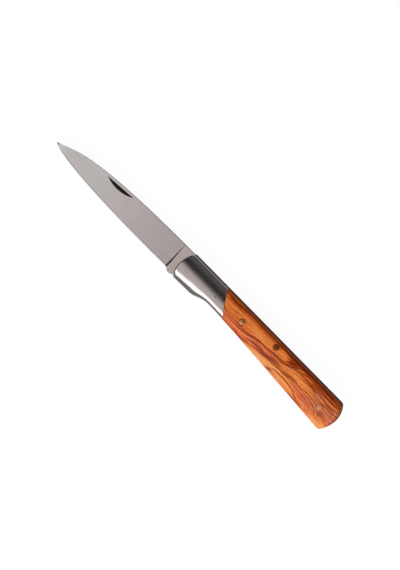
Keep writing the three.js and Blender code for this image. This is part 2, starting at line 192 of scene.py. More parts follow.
def inset(outline: np.ndarray, distance: float) -> np.ndarray:
    """Draws a closed outline a small distance inside another.

    Args:
        outline: The outer outline, anticlockwise.
        distance: How far in the new one lies.

    Returns:
        As many points as the outline has. A sharp corner moves in by no more than its stretch.
    """
    before = outline - np.roll(outline, 1, axis=0)
    after = np.roll(outline, -1, axis=0) - outline
    before /= np.linalg.norm(before, axis=1, keepdims=True)
    after /= np.linalg.norm(after, axis=1, keepdims=True)
    left = np.stack([-before[:, 1] - after[:, 1], before[:, 0] + after[:, 0]], -1)
    size = np.linalg.norm(left, axis=1, keepdims=True)
    left /= size
    return outline + left * distance / np.maximum(size / 2, 1 / CORNER_STRETCH)


def distance_to(curve: np.ndarray, points: np.ndarray) -> np.ndarray:
    """Measures how far points lie from a curve.

    Args:
        curve: The points of the curve.
        points: The points to measure from.

    Returns:
        One distance for each point.
    """
    nearest = np.full(len(points), np.inf)
    for a, b in zip(curve[:-1], curve[1:]):
        run = b - a
        along = np.clip((points - a) @ run / (run @ run), 0, 1)
        gap = np.linalg.norm(points - a - along[:, None] * run, axis=1)
        nearest = np.minimum(nearest, gap)
    return nearest


def rounding(depth: np.ndarray, radius: float) -> np.ndarray:
    """Gives how much a quarter-round edge takes off a flat face.

    Args:
        depth: Distances in from the edge.
        radius: The radius of the round.

    Returns:
        The height taken off at each distance.
    """
    inside = np.clip(1 - depth / radius, 0, 1)
    return radius * (1 - np.sqrt(1 - inside**2))


def bending(depth: np.ndarray, width: float, drop: float, power: float = 2) -> np.ndarray:
    """Gives how much a crown takes off a flat face, from nothing at its width to its drop."""
    return drop * np.clip(1 - depth / width, 0, 1) ** power


@dataclass(frozen=True)
class Bench:
    """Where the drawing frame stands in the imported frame.

    Args:
        pivot: The middle of the blade's pivot, in metres.
    """

    pivot: Vector

    def place(self, points: np.ndarray) -> np.ndarray:
        """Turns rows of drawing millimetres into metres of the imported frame."""
        return np.asarray(points, float) * MM + np.array(self.pivot)

    def point(self, x: float, y: float, z: float) -> Vector:
        """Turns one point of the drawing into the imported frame."""
        return self.pivot + Vector((x, y, z)) * MM


@dataclass(frozen=True)
class HandleShape:
    """The outline and the crown that all pieces of the handle share.

    Args:
        front_low: Share of the front's radius from its centre to where it meets the belly.
        front_high: The same where it meets the back.
        dip_start: How the belly leaves its straight, along and up.
        swell_end: Shares of its run and its fall over which it turns level at the butt.
        crown_start: Heights at which the crown toward the belly starts, along the handle.
        crown_slope: How steep that crown ends, along the handle.
        back_crown: Width and drop of the crown toward the back, as for the butt's.
        front_bevel: Width and drop of the bevel on the bolsters' front.
        bevel_spread: Heights over the belly, and the shares of a distance that count there.
        bevel_foot: Height over the belly at which the bevel has its full drop.
    """

    back_height: float = 9.948
    back_fall: float = 0.35
    reach: float = 106.999
    front_reach: float = 5.3
    front_radius: float = 13.2
    front_centre_height: float = 2.1
    front_low: float = 0.76
    front_high: float = 0.823
    front_spare: float = 2.0
    bolster_depth: float = 5.75
    bolster_rise: float = 0.2
    bolster_flat_end: float = 8.2
    dip_start: Point = (4.5, 0.1)
    dip_end: float = 6.0
    waist_set: float = 20.0
    waist_depth: float = 2.65
    swell_start: float = 0.13
    swell_end: Point = (0.57, 0.65)
    butt_depth: float = 7.75
    butt_radius: float = 12.6
    butt_centre_height: float = 0.8
    butt_corner: float = 1.1
    mitre_back: float = 21.3
    mitre_belly: float = 29.9
    slot: float = 2.6
    liner: float = 1.2
    scale: float = 3.25
    crown_start: tuple[Point, ...] = (
        (-8, -1.4), (-3, -0.9), (2, -0.33), (7, 0.45), (14, 0.65), (22, 0.5), (32, 0.5), (60, 0.1),
        (107, -2.9))
    crown_slope: tuple[Point, ...] = ((0, 0.68), (20, 0.66), (107, 0.56))
    crown_least: float = 1.0
    crown_blend: int = 3
    back_crown: Point = (9.65, 1.21)
    butt_crown: Point = (4.0, 1.1)
    edge_round: float = 0.35
    back_round: float = 0.2
    front_bevel: Point = (0.62, 0.30)
    bevel_power: float = 1.25
    bevel_spread: tuple[Point, Point] = ((2.5, 5.0), (0.6, 1.0))
    bevel_foot: float = 0.8
    mitre_round: float = 0.07
    steps: int = 48

    @property
    def liner_outside(self) -> float:
        """Height of a liner's outer face above the middle plane."""
        return self.slot / 2 + self.liner

    @property
    def top(self) -> float:
        """Height of the flat of the scales above the middle plane."""
        return self.liner_outside + self.scale

    @property
    def butt_centre(self) -> Point:
        """Centre of the butt's arc."""
        return (self.reach - self.butt_radius, self.butt_centre_height)

    @property
    def front_centre(self) -> Point:
        """Centre of the bolsters' round front."""
        return (self.front_radius - self.front_reach, self.front_centre_height)

    def back_y(self, x: float | np.ndarray) -> float | np.ndarray:
        """Height of the back at x."""
        return self.back_height - self.back_fall * x / self.reach

    def mitre_x(self, y: float) -> float:
        """Place of the joint between bolster and scale at a height."""
        slope = (self.mitre_back - self.mitre_belly) / (self.back_height + self.waist_depth)
        return self.mitre_belly + slope * (y + self.waist_depth)

    def on_butt(self, angle: float) -> Point:
        """Point of the butt's arc at an angle."""
        x, y = self.butt_centre
        return (x + self.butt_radius * math.cos(angle), y + self.butt_radius * math.sin(angle))

    def butt_angle(self, y: float) -> float:
        """Angle at which the butt's arc reaches a height."""
        return math.asin((y - self.butt_centre_height) / self.butt_radius)

    def belly(self) -> np.ndarray:
        """Draws the belly from ahead of the bolster to the butt.

        Returns:
            The points along it, from the front to the butt's corner.
        """
        front = (-self.front_reach - self.front_spare, -self.bolster_depth)
        flat = (self.bolster_flat_end, -self.bolster_depth + self.bolster_rise)
        waist = (self.waist_set, -self.waist_depth)
        corner = self.on_butt(self.butt_angle(-self.butt_depth))
        end = (corner[0] - self.butt_corner, -self.butt_depth)
        run = end[0] - waist[0]
        fall = self.butt_depth - self.waist_depth
        leaving = (flat[0] + self.dip_start[0], flat[1] + self.dip_start[1])
        dip = [flat, leaving, (waist[0] - self.dip_end, waist[1]), waist]
        level = (waist[0] + self.swell_start * run, waist[1])
        settling = (end[0] - self.swell_end[0] * run, end[1] + self.swell_end[1] * fall)
        swell = [waist, level, settling, end]
        straight = np.linspace(front, flat, self.steps)
        return chain(straight, bezier(dip, self.steps), bezier(swell, 2 * self.steps))

    def butt(self) -> np.ndarray:
        """Draws the butt from the belly to the back.

        Returns:
            The points along its two corners and the arc between them.
        """
        low = self.butt_angle(-self.butt_depth)
        corner = self.on_butt(low)
        high = self.butt_angle(self.back_y(corner[0]))
        top = self.on_butt(high)
        turn = self.butt_corner / self.butt_radius
        start = (corner[0] - self.butt_corner, corner[1])
        end_x = top[0] - self.butt_corner
        low_corner = [start, corner, self.on_butt(low + turn)]
        high_corner = [self.on_butt(high - turn), top, (end_x, self.back_y(end_x))]
        middle = arc(self.butt_centre, self.butt_radius, low + turn, high - turn, self.steps)
        eighth = self.steps // 4
        return chain(bezier(low_corner, eighth), middle, bezier(high_corner, eighth))

    def front(self) -> np.ndarray:
        """Draws the bolsters' round front from the belly to the back.

        Returns:
            The points along it.
        """
        centre_x, centre_y = self.front_centre
        belly_x = centre_x - self.front_radius * self.front_low
        low = math.asin((np.interp(belly_x, *self.belly().T) - centre_y) / self.front_radius)
        back_x = centre_x - self.front_radius * self.front_high
        high = math.asin((self.back_y(back_x) - centre_y) / self.front_radius)
        turned = arc((0, 0), self.front_radius, low, high, self.steps)
        return np.stack([centre_x - turned[:, 0], centre_y + turned[:, 1]], -1)

    def belly_crown(self, x: np.ndarray, belly_y: np.ndarray) -> tuple[np.ndarray, np.ndarray]:
        """Gives the crown toward the belly, narrow in the waist and wide at both ends.

        Args:
            x: Places along the handle.
            belly_y: Heights of the belly there.

        Returns:
            Its widths and its drops there.
        """
        start = np.interp(x, *np.array(self.crown_start).T)
        steep = np.interp(x, *np.array(self.crown_slope).T)
        width = np.maximum(start - belly_y, self.crown_least)
        return width, steep * width / 2

    def height(self, points: np.ndarray) -> np.ndarray:
        """Gives the crowned outside of the handle, before its edges are rounded.

        Args:
            points: Places in plan, one row each.

        Returns:
            The height of the mark side above the middle plane at each.
        """
        x, y = points[:, 0], points[:, 1]
        belly_y = np.interp(x, *self.belly().T)
        width, drop = self.belly_crown(x, belly_y)
        from_belly = y - belly_y
        from_back = self.back_y(x) - y
        centre_x, centre_y = self.butt_centre
        past = np.hypot(np.maximum(x - centre_x, 0), y - centre_y)
        from_butt = self.butt_radius - past + np.maximum(centre_x - x, 0)
        falls = [
            bending(from_belly, width, drop),
            bending(from_back, *self.back_crown),
            bending(from_butt, *self.butt_crown),
        ]
        return self.top - sum(fall**self.crown_blend for fall in falls) ** (1 / self.crown_blend)


# Meshes


def build(name: str, bench: Bench, points: np.ndarray, faces: list[list[int]]) -> bpy.types.Object:
    """Makes a closed mesh object from points of the drawing.

    Args:
        name: The piece's name.
        bench: Where the drawing stands.
        points: The points, one row of three each.
        faces: The faces, as lists of rows.

    Returns:
        The object, with its faces pointing out.
    """
    mesh = bpy.data.meshes.new(name)
    mesh.from_pydata(bench.place(points).tolist(), [], faces)
    work = bmesh.new()
    work.from_mesh(mesh)
    bmesh.ops.recalc_face_normals(work, faces=work.faces)
    work.to_mesh(mesh)
    work.free()
    piece = bpy.data.objects.new(name, mesh)
    bpy.context.scene.collection.objects.link(piece)
    return piece


def between_rings(rings: list[np.ndarray]) -> Solid:
    """Makes a closed skin through rings of as many points each.

    Args:
        rings: Closed rings of three-dimensional points, from the lowest to the highest.

    Returns:
        The points and the faces of the skin.
    """
    count = len(rings[0])
    faces = [list(range(count))[::-1]]
    for ring in range(len(rings) - 1):
        for i in range(count):
            a, b = ring * count + i, ring * count + (i + 1) % count
            faces.append([a, b, b + count, a + count])
    last = (len(rings) - 1) * count
    faces.append(list(range(last, last + count)))
    return np.concatenate(rings), faces


def plate(outline: np.ndarray, low: float, high: float, chamfer: float) -> Solid:
    """Makes a plate with chamfered edges.

    Args:
        outline: Its outline in plan, anticlockwise.
        low: Height of its lower face.
        high: Height of its upper face.
        chamfer: Width of the chamfers.

    Returns:
        The points and the faces of the plate.
    """
    inner = inset(outline, chamfer)
    levels = [(inner, low), (outline, low + chamfer), (outline, high - chamfer), (inner, high)]
    return between_rings([np.column_stack([ring, np.full(len(ring), z)]) for ring, z in levels])


def patch(sides: tuple[np.ndarray, ...], along: int, across: int) -> np.ndarray:
    """Spreads a grid between four curves.

    Args:
        sides: The curves at the belly, the back, the front and the rear. The first two run to
            the rear and the others to the back.
        along: Steps of the grid from front to rear.
        across: Steps of the grid from belly to back.

    Returns:
        The grid's points, as an array of (along + 1) by (across + 1) by 2.
    """
    s, t = close_at_ends(along), close_at_ends(across)
    belly, back = (spread(side, s)[:, None, :] for side in sides[:2])
    front, rear = (spread(side, t)[None, :, :] for side in sides[2:])
    s, t = s[:, None, None], t[None, :, None]
    corners = (
        (1 - s) * ((1 - t) * belly[0, 0] + t * back[0, 0])
        + s * ((1 - t) * belly[-1, 0] + t * back[-1, 0])
    )
    return (1 - t) * belly + t * back + (1 - s) * front + s * rear - corners


def slab(grid: np.ndarray, heights: np.ndarray, base: float) -> Solid:
    """Makes a solid with a shaped top over a grid and a flat underside.

    Args:
        grid: The grid's points in plan.
        heights: The height of the top over each point.
        base: The height of the underside.

    Returns:
        The points and the faces of the solid.
    """
    rows, columns = grid.shape[:2]
    number = np.arange(rows * columns).reshape(rows, columns)
    rim = [*number[:-1, 0], *number[-1, :-1], *number[:0:-1, -1], *number[0, :0:-1]]
    flat = grid.reshape(-1, 2)
    foot = np.column_stack([flat[rim], np.full(len(rim), base)])
    faces = [
        [number[i, j], number[i + 1, j], number[i + 1, j + 1], number[i, j + 1]]
        for i in range(rows - 1)
        for j in range(columns - 1)
    ]
    for i, top in enumerate(rim):
        a, b = rows * columns + i, rows * columns + (i + 1) % len(rim)
        faces.append([a, b, rim[(i + 1) % len(rim)], top])
    faces.append([rows * columns + i for i in range(len(rim))][::-1])
    points = np.concatenate([np.column_stack([flat, heights]), foot])
    return points, [[int(i) for i in face] for face in faces]


def turned(profile: list[Point], sides: int) -> Solid:
    """Turns a profile round the Z axis.

    Args:
        profile: Radii and heights, from the lowest to the highest, all off the axis.
        sides: How many facets go round.

    Returns:
        The points and the faces of the solid.
    """
    circle = arc((0, 0), 1, 0, 2 * math.pi, sides)[:-1]
    return between_rings([np.column_stack([circle * r, np.full(sides, z)]) for r, z in profile])


def dressed(name: str, bench: Bench, solid: Solid, finish: Finish) -> bpy.types.Object:
    """Makes a closed mesh object that has one finish.

    Args:
        name: The piece's name.
        bench: Where the drawing stands.
        solid: Its points and faces.
        finish: Its finish.

    Returns:
        The object.
    """
    piece = build(name, bench, *solid)
    piece.data.materials.append(finish.dress(bench))
    return piece


def flipped(points: np.ndarray, side: Side) -> np.ndarray:
    """Mirrors points of the mark side to the side that is asked for."""
    return points * np.array([1, 1, side.value])


def cut_away(piece: bpy.types.Object, cutters: list[bpy.types.Object]) -> None:
    """Cuts solids out of a piece and removes them.

    Args:
        piece: What is cut. Faces that a cut leaves take the cutter's material.
        cutters: The solids to take away.
    """
    for tool in cutters:
        cut = piece.modifiers.new("cut", "BOOLEAN")
        cut.operation = "DIFFERENCE"
        cut.solver = "EXACT"
        cut.material_mode = "TRANSFER"
        cut.object = tool
    settle(piece)
    for tool in cutters:
        bpy.data.objects.remove(tool)


def settle(piece: bpy.types.Object) -> None:
    """Applies a piece's modifiers to its mesh.

    Args:
        piece: The piece.
    """
    bpy.context.view_layer.update()
    shaped = piece.evaluated_get(bpy.context.evaluated_depsgraph_get())
    mesh = bpy.data.meshes.new_from_object(shaped)
    piece.modifiers.clear()
    piece.data = mesh


def smooth(piece: bpy.types.Object, crease_deg: float) -> None:
    """Shades a piece smooth, with creases where its faces meet at more than an angle."""
    piece.data.shade_smooth()
    piece.data.set_sharp_from_angle(angle=math.radians(crease_deg))


def hand_over(piece: bpy.types.Object, body: str, slot: str, *nodes: str) -> None:
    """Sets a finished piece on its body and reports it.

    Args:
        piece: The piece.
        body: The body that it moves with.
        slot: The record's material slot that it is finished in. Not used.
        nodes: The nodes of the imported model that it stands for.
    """
    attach(piece, body)
    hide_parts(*nodes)
    LOG.info("%s: %d faces, rides on %s", piece.name, len(piece.data.polygons), body)


# Finishes


@dataclass(frozen=True)
class Pattern:
    """A pattern of noise in a material.

    Args:
        scale: Features for each millimetre along X, Y and Z.
        shift: How far off it is drawn, so that no two patterns are alike.
        detail: How many finer layers it has.
        roughness: How strong the finer layers are.
    """

    scale: tuple[float, float, float]
    shift: float = 0.0
    detail: float = 2.0
    roughness: float = 0.5


class Nodes:
    """Builds one shader out of nodes, with its coordinates in drawing millimetres."""

    def __init__(self, tree: bpy.types.ShaderNodeTree) -> None:
        """Starts from an empty tree."""
        self.tree = tree
        tree.nodes.clear()

    def add(
        self, kind: str, inputs: dict[str | int, object] | None = None, **settings: object
    ) -> bpy.types.Node:
        """Adds a node.

        Args:
            kind: Its type, without the common first word.
            inputs: Values or sockets for its inputs, by name or number.
            settings: Its own properties.

        Returns:
            The node.
        """
        node = self.tree.nodes.new(f"ShaderNode{kind}")
        for name, value in settings.items():
            setattr(node, name, value)
        for name, value in (inputs or {}).items():
            if isinstance(value, Socket):
                self.tree.links.new(value, node.inputs[name])
            else:
                node.inputs[name].default_value = value
        return node

    def math(self, operation: str, *values: Share, clamp: bool = False) -> Socket:
        """Works out one step of arithmetic on its values."""
        node = self.add("Math", dict(enumerate(values)), operation=operation, use_clamp=clamp)
        return node.outputs[0]

    def plus(self, first: Share, second: Share, clamp: bool = False) -> Socket:
        """Adds two values."""
        return self.math("ADD", first, second, clamp=clamp)

    def minus(self, first: Share, second: Share) -> Socket:
        """Takes the second value from the first."""
        return self.math("SUBTRACT", first, second)

    def times(self, first: Share, second: Share, clamp: bool = False) -> Socket:
        """Multiplies two values."""
        return self.math("MULTIPLY", first, second, clamp=clamp)

    def swing(self, noise: Socket, gain: float) -> Socket:
        """Spreads noise about zero. Its own middle is a half."""
        return self.times(self.minus(noise, 0.5), gain)

    def ramp(self, value: Share, start: float, end: float, low: float = 0, high: float = 1) -> Socket:
        """Turns a value smoothly from low at start to high at end."""
        inputs = {"Value": value, 1: start, 2: end, 3: low, 4: high}
        return self.add("MapRange", inputs, interpolation_type="SMOOTHSTEP").outputs[0]

    def straight(self, value: Share, start: Share, end: Share, low: float, high: float) -> Socket:
        """Turns a value evenly from low at start to high at end, and on past both."""
        inputs = {"Value": value, 1: start, 2: end, 3: low, 4: high}
        return self.add("MapRange", inputs, clamp=False).outputs[0]

    def parts(self, vector: Socket) -> Sequence[Socket]:
        """Takes a vector apart into X, Y and Z."""
        return self.add("SeparateXYZ", {"Vector": vector}).outputs

    def grey(self, value: Socket) -> Socket:
        """Makes a grey out of a value."""
        return self.add("CombineXYZ", {i: value for i in range(3)}).outputs[0]

    def distance(self, flat: Socket, centre: Point) -> Socket:
        """Measures how far a place in plan is from a centre."""
        inputs = {0: flat, 1: (*centre, 0)}
        return self.add("VectorMath", inputs, operation="DISTANCE").outputs["Value"]

    def stretched(self, vector: Socket, scale: Sequence[float], shift: float = 0) -> Socket:
        """Scales a vector along each axis and shifts it, to draw a pattern from elsewhere."""
        inputs = {"Vector": vector, "Location": (shift, shift, shift), "Scale": tuple(scale)}
        return self.add("Mapping", inputs).outputs[0]

    def noise(self, place: Socket, pattern: Pattern, shift: float = 0.0) -> Socket:
        """Reads a pattern of noise.

        Args:
            place: Where it is read, in millimetres.
            pattern: The pattern.
            shift: How much further off it is drawn than the pattern says.

        Returns:
            Its height there, from 0 to 1.
        """
        spot = self.stretched(place, pattern.scale, pattern.shift + shift)
        fineness = {"Detail": pattern.detail, "Roughness": pattern.roughness}
        return self.add("TexNoise", {"Vector": spot, "Scale": 1.0, **fineness}).outputs["Fac"]

    def curve(self, value: Socket, points: Sequence[Point]) -> Socket:
        """Reads a curve through given points.

        Args:
            value: Where it is read, in the units of the points.
            points: Its points, by rising first number.

        Returns:
            Its height there, level beyond its ends.
        """
        xs, ys = [p[0] for p in points], [p[1] for p in points]
        low, high = min(ys), max(max(ys), min(ys) + LEAST_RISE)
        place = self.math("DIVIDE", self.minus(value, xs[0]), xs[-1] - xs[0], clamp=True)
        node = self.add("FloatCurve", {"Value": place})
        line = node.mapping.curves[0]
        while len(line.points) < len(points):
            line.points.new(0.5, 0.5)
        for spot, x, y in zip(line.points, xs, ys):
            spot.location = ((x - xs[0]) / (xs[-1] - xs[0]), (y - low) / (high - low))
            spot.handle_type = "AUTO_CLAMPED"
        node.mapping.update()
        return self.straight(node.outputs[0], 0.0, 1.0, low, high)

    def mix(self, share: Share, first: object, second: object, blend: str = "MIX") -> Socket:
        """Mixes two colours.

        Args:
            share: How much of the second goes in.
            first: A colour, a tone or a socket of a colour.
            second: The same.
            blend: How they mix.

        Returns:
            The mixed colour.
        """
        plain = [c.value if isinstance(c, Tone) else c for c in (first, second)]
        first, second = ((*c, 1.0) if isinstance(c, tuple) else c for c in plain)
        inputs = {0: share, 6: first, 7: second}
        return self.add("Mix", inputs, data_type="RGBA", blend_type=blend).outputs[2]

    def drawing(self, bench: Bench) -> Socket:
        """Gives the place in drawing millimetres.

        Args:
            bench: Where the drawing stands.

        Returns:
            The vector from the pivot.
        """
        place = self.add("TexCoord").outputs["Object"]
        shift = -Vector(bench.pivot) / MM
        inputs = {"Vector": place, "Location": shift, "Scale": (1 / MM,) * 3}
        return self.add("Mapping", inputs).outputs[0]

    def bump(self, height: Socket, depth: float, strength: float = 1.0) -> Socket:
        """Turns a height from 0 to 1 into a relief of that depth in millimetres."""
        inputs = {"Height": height, "Distance": depth * MM, "Strength": strength}
        return self.add("Bump", inputs).outputs[0]

    def surface(self, **inputs: object) -> None:
        """Ends the tree in one plain shader.

        Args:
            inputs: Values or sockets for its inputs, by their names with underscores for spaces.
        """
        named = {name.replace("_", " "): value for name, value in inputs.items()}
        for name, value in named.items():
            if isinstance(value, tuple) and len(value) == 3:
                named[name] = (*value, 1.0)
        shader = self.add("BsdfPrincipled", named)
        self.add("OutputMaterial", {"Surface": shader.outputs[0]})


@dataclass(frozen=True)
class Finish:
    """What all finishes hold.

    Args:
        name: The material's name.
        colour: Its main colour, linear.
    """

    name: str
    colour: Colour

    def dress(self, bench: Bench) -> bpy.types.Material:
        """Makes the material.

        Args:
            bench: Where the drawing stands.

        Returns:
            The material.
        """
        material = bpy.data.materials.new(self.name)
        material.use_nodes = True
        material.diffuse_color = (*self.colour, 1.0)
        nodes = Nodes(material.node_tree)
        self.paint(nodes, nodes.drawing(bench))
        return material

    def paint(self, nodes: Nodes, place: Socket) -> None:
        """Fills the material's tree. Each finish has its own way."""
        raise NotImplementedError(f"{self.name} has no paint for {nodes} at {place}")


@dataclass(frozen=True)
class Fade:
    """A change of a steel's tone along the knife.

    Args:
        start: Where the other tone ends.
        end: Where the steel has its own tone.
        colour: The other tone.
        edge_tint: How it reflects when it is seen edge on. Below white it darkens those reflections, as
            painted shade.
    """

    start: float
    end: float
    colour: Colour
    edge_tint: Colour


@dataclass(frozen=True)
class LinedSteel(Finish):
    """Steel ground, brushed or polished in one direction.

    Args:
        roughness: How it spreads reflections.
        lines: Grinding lines for each millimetre along X, Y and Z. The small ones run along.
        depth: Depth of the lines.
        mottle: How much the tone wanders.
        scuffs: How strongly fine handling scratches show.
        metallic: 1 for bare metal, less in the nail nick, whose near-black colour is painted shade.
        edge_tint: What it reflects when it is seen edge on. Below white it darkens those reflections, as
            painted shade.
        fade: Its other tone at one end, or None where it is the same all over.
        shaded_point: Whether the last millimetre of the blade's point is darkened, as painted shade and
            painted reflection.
        line_detail: Finer layers of the lines, and how strong they are.
        scuff_runs: The angles of the scratches, each with a shift of their pattern.
        point_shade: Where the point darkens with painted shade, and how much.
    """

    roughness: float = 0.36
    lines: tuple[float, float, float] = (5.0, 0.12, 0.3)
    depth: float = 0.002
    mottle: float = 0.05
    scuffs: float = 0.0
    metallic: float = 1.0
    edge_tint: Colour = (1.0, 1.0, 1.0)
    fade: Fade | None = None
    shaded_point: bool = False
    line_detail: Point = (3, 0.65)
    line_gloss: float = 0.5
    slow: Pattern = Pattern((0.12, 0.3, 0.3), 40, 3)
    scuff: Pattern = Pattern((0.10, 6.0, 0.5), detail=1)
    scuff_edge: Point = (0.70, 0.76)
    scuff_runs: tuple[Point, Point] = ((35.0, 7.0), (-62.0, 19.0))
    scuff_gloss: float = 0.25
    point_shade: Ramp = (-91.0, -92.2, 0, 0.75)
    point_shade_colour: Colour = (0.05, 0.047, 0.047)

    def paint(self, nodes: Nodes, place: Socket) -> None:
        """Lays lines, a slow mottle and a few scuffs over the bare metal.

        Args:
            nodes: The material's tree.
            place: The place in drawing millimetres.
        """
        lines = nodes.noise(place, Pattern(self.lines, 0.0, *self.line_detail))
        slow = nodes.noise(place, self.slow)
        tone = nodes.plus(nodes.swing(lines, self.mottle), nodes.swing(slow, 2 * self.mottle))
        shade = nodes.grey(nodes.plus(1.0, tone))
        colour, edge_tint = self.colour, self.edge_tint
        along = nodes.parts(place)[0]
        if self.fade:
            own = nodes.ramp(along, self.fade.start, self.fade.end)
            colour = nodes.mix(own, self.fade.colour, colour)
            edge_tint = nodes.mix(own, self.fade.edge_tint, edge_tint)
        # Painted shade and painted reflection darken the last millimetre of the point.
        if self.shaded_point:
            colour = nodes.mix(nodes.ramp(along, *self.point_shade), colour, self.point_shade_colour)
        colour = nodes.mix(1.0, colour, shade, "MULTIPLY")
        rough = nodes.plus(self.roughness, nodes.swing(lines, self.roughness * self.line_gloss))
        relief = lines
        if self.scuffs:
            marks = self.scuff_marks(nodes, place)
            rough = nodes.plus(rough, nodes.times(marks, self.scuff_gloss * self.scuffs))
            relief = nodes.minus(lines, nodes.times(marks, self.scuffs))
        nodes.surface(
            Base_Color=colour,
            Metallic=self.metallic,
            Roughness=rough,
            Specular_Tint=edge_tint,
            Normal=nodes.bump(relief, self.depth),
        )

    def scuff_marks(self, nodes: Nodes, place: Socket) -> Socket:
        """Draws thin straight scratches in two directions.

        Args:
            nodes: The material's tree.
            place: The place in drawing millimetres.

        Returns:
            1 in a scratch and 0 beside it.
        """
        marks: Share = 0.0
        for turn_deg, shift in self.scuff_runs:
            inputs = {"Vector": place, "Rotation": (0.0, 0.0, math.radians(turn_deg))}
            swung = nodes.add("VectorRotate", inputs, rotation_type="EULER_XYZ").outputs[0]
            grain = nodes.noise(swung, self.scuff, shift)
            marks = nodes.math("MAXIMUM", marks, nodes.ramp(grain, *self.scuff_edge))
        return marks


@dataclass(frozen=True)
class PinBrass(Finish):
    """Brass filed flush with the wood and dulled by handling.

    Args:
        roughness: How it spreads reflections.
        tarnish_tone: What share of its light tarnished brass reflects.
    """

    roughness: float = 0.2
    filing: Pattern = Pattern((1.2, 7.0, 1.0))
    depth: float = 0.006
    tarnish: Pattern = Pattern((0.9, 0.9, 0.9), 11, 4, 0.6)
    tarnish_edge: Point = (0.35, 0.7)
    tarnish_tone: float = 0.8
    tarnish_gloss: float = 0.15

    def paint(self, nodes: Nodes, place: Socket) -> None:
        """Lays filing lines and a patchy tarnish over the brass.

        Args:
            nodes: The material's tree.
            place: The place in drawing millimetres.
        """
        filed = nodes.noise(place, self.filing)
        dull = nodes.ramp(nodes.noise(place, self.tarnish), *self.tarnish_edge)
        colour = nodes.mix(dull, self.colour, tuple(c * self.tarnish_tone for c in self.colour))
        rough = nodes.plus(self.roughness, nodes.times(dull, self.tarnish_gloss))
        relief = nodes.bump(filed, self.depth)
        nodes.surface(Base_Color=colour, Metallic=1.0, Roughness=rough, Normal=relief)


@dataclass(frozen=True)
class Streak:
    """One streak, vein or zone of the wood.

    Args:
        tone: Its colour.
        half_width: Half its width.
        route: Points along its middle, each with how strongly it shows there.
        soft: How far its edges fade, as a share of the half width.
    """

    tone: Tone
    half_width: float
    route: tuple[tuple[float, float, float], ...]
    soft: float = 0.6


ZONES = (
    Streak(Tone.ROSE, 2.4, (
      (25, -0.4, 0.8), (35, -1.1, 0.9), (47, -0.4, 0.8), (57, 1.3, 0.8), (66, 1.8, 0))),
    Streak(Tone.GLOW, 1.7, (
      (28, 6.2, 0), (36, 5.8, 0.6), (47, 5.6, 0.8), (57, 6.0, 0.7), (66, 6.4, 0.3))),
    # Painted shade along the back, where the crown turns from the light.
    Streak(Tone.AMBER, 2.0, (
      (22, 9.0, 0.8), (30, 8.9, 0.9), (40, 9.2, 0.5), (52, 9.4, 0.5), (62, 9.3, 0.8))),
    Streak(Tone.AMBER, 2.5, (
      (67, 8.4, 0), (71, 7.6, 0.9), (78, 7.6, 0.9), (88, 7.0, 1), (97, 6.9, 0.9), (106, 6.8, 0.5))),
    # The dark wedge in the grain, running on along the back as painted shade.
    Streak(Tone.BARK, 1.9, (
      (68, 7.8, 0), (70.5, 7.2, 0.35), (73.5, 7.4, 0.5), (77, 8.8, 0.4), (85, 9.4, 0.4),
      (98, 9.2, 0.5))),
    Streak(Tone.GLOW, 1.6, ((70, 2.8, 0.1), (77, 3.8, 0.8), (84, 3.2, 0.7), (91, 2.6, 0.2))),
    Streak(Tone.ROSE, 1.8, ((77, -0.8, 0.2), (86, -1.3, 0.8), (93, -2.2, 0.7), (98, -3.4, 0.3))),
    Streak(Tone.CLAY, 4.2, ((86, 0.2, 0), (94, 0.6, 0.7), (104, 0.9, 0.9), (107, 0.9, 1))),
    # Pale honey wood on the belly's crown, brightened further as a painted highlight.
    Streak(Tone.HONEY, 1.5, (
      (46.5, -5.2, 0), (49, -4.6, 0.9), (52, -3.9, 1), (57, -3.2, 1), (65, -2.8, 0.6), (73, -3.6, 0.5),
      (80, -5.0, 0.3))),
    # Pale honey wood at the butt's belly corner, brightened further as a painted highlight.
    Streak(Tone.HONEY, 1.5, ((88, -6.2, 0), (96, -6.2, 0.5), (101, -6.0, 0.9), (106, -5.4, 0.9))),
)

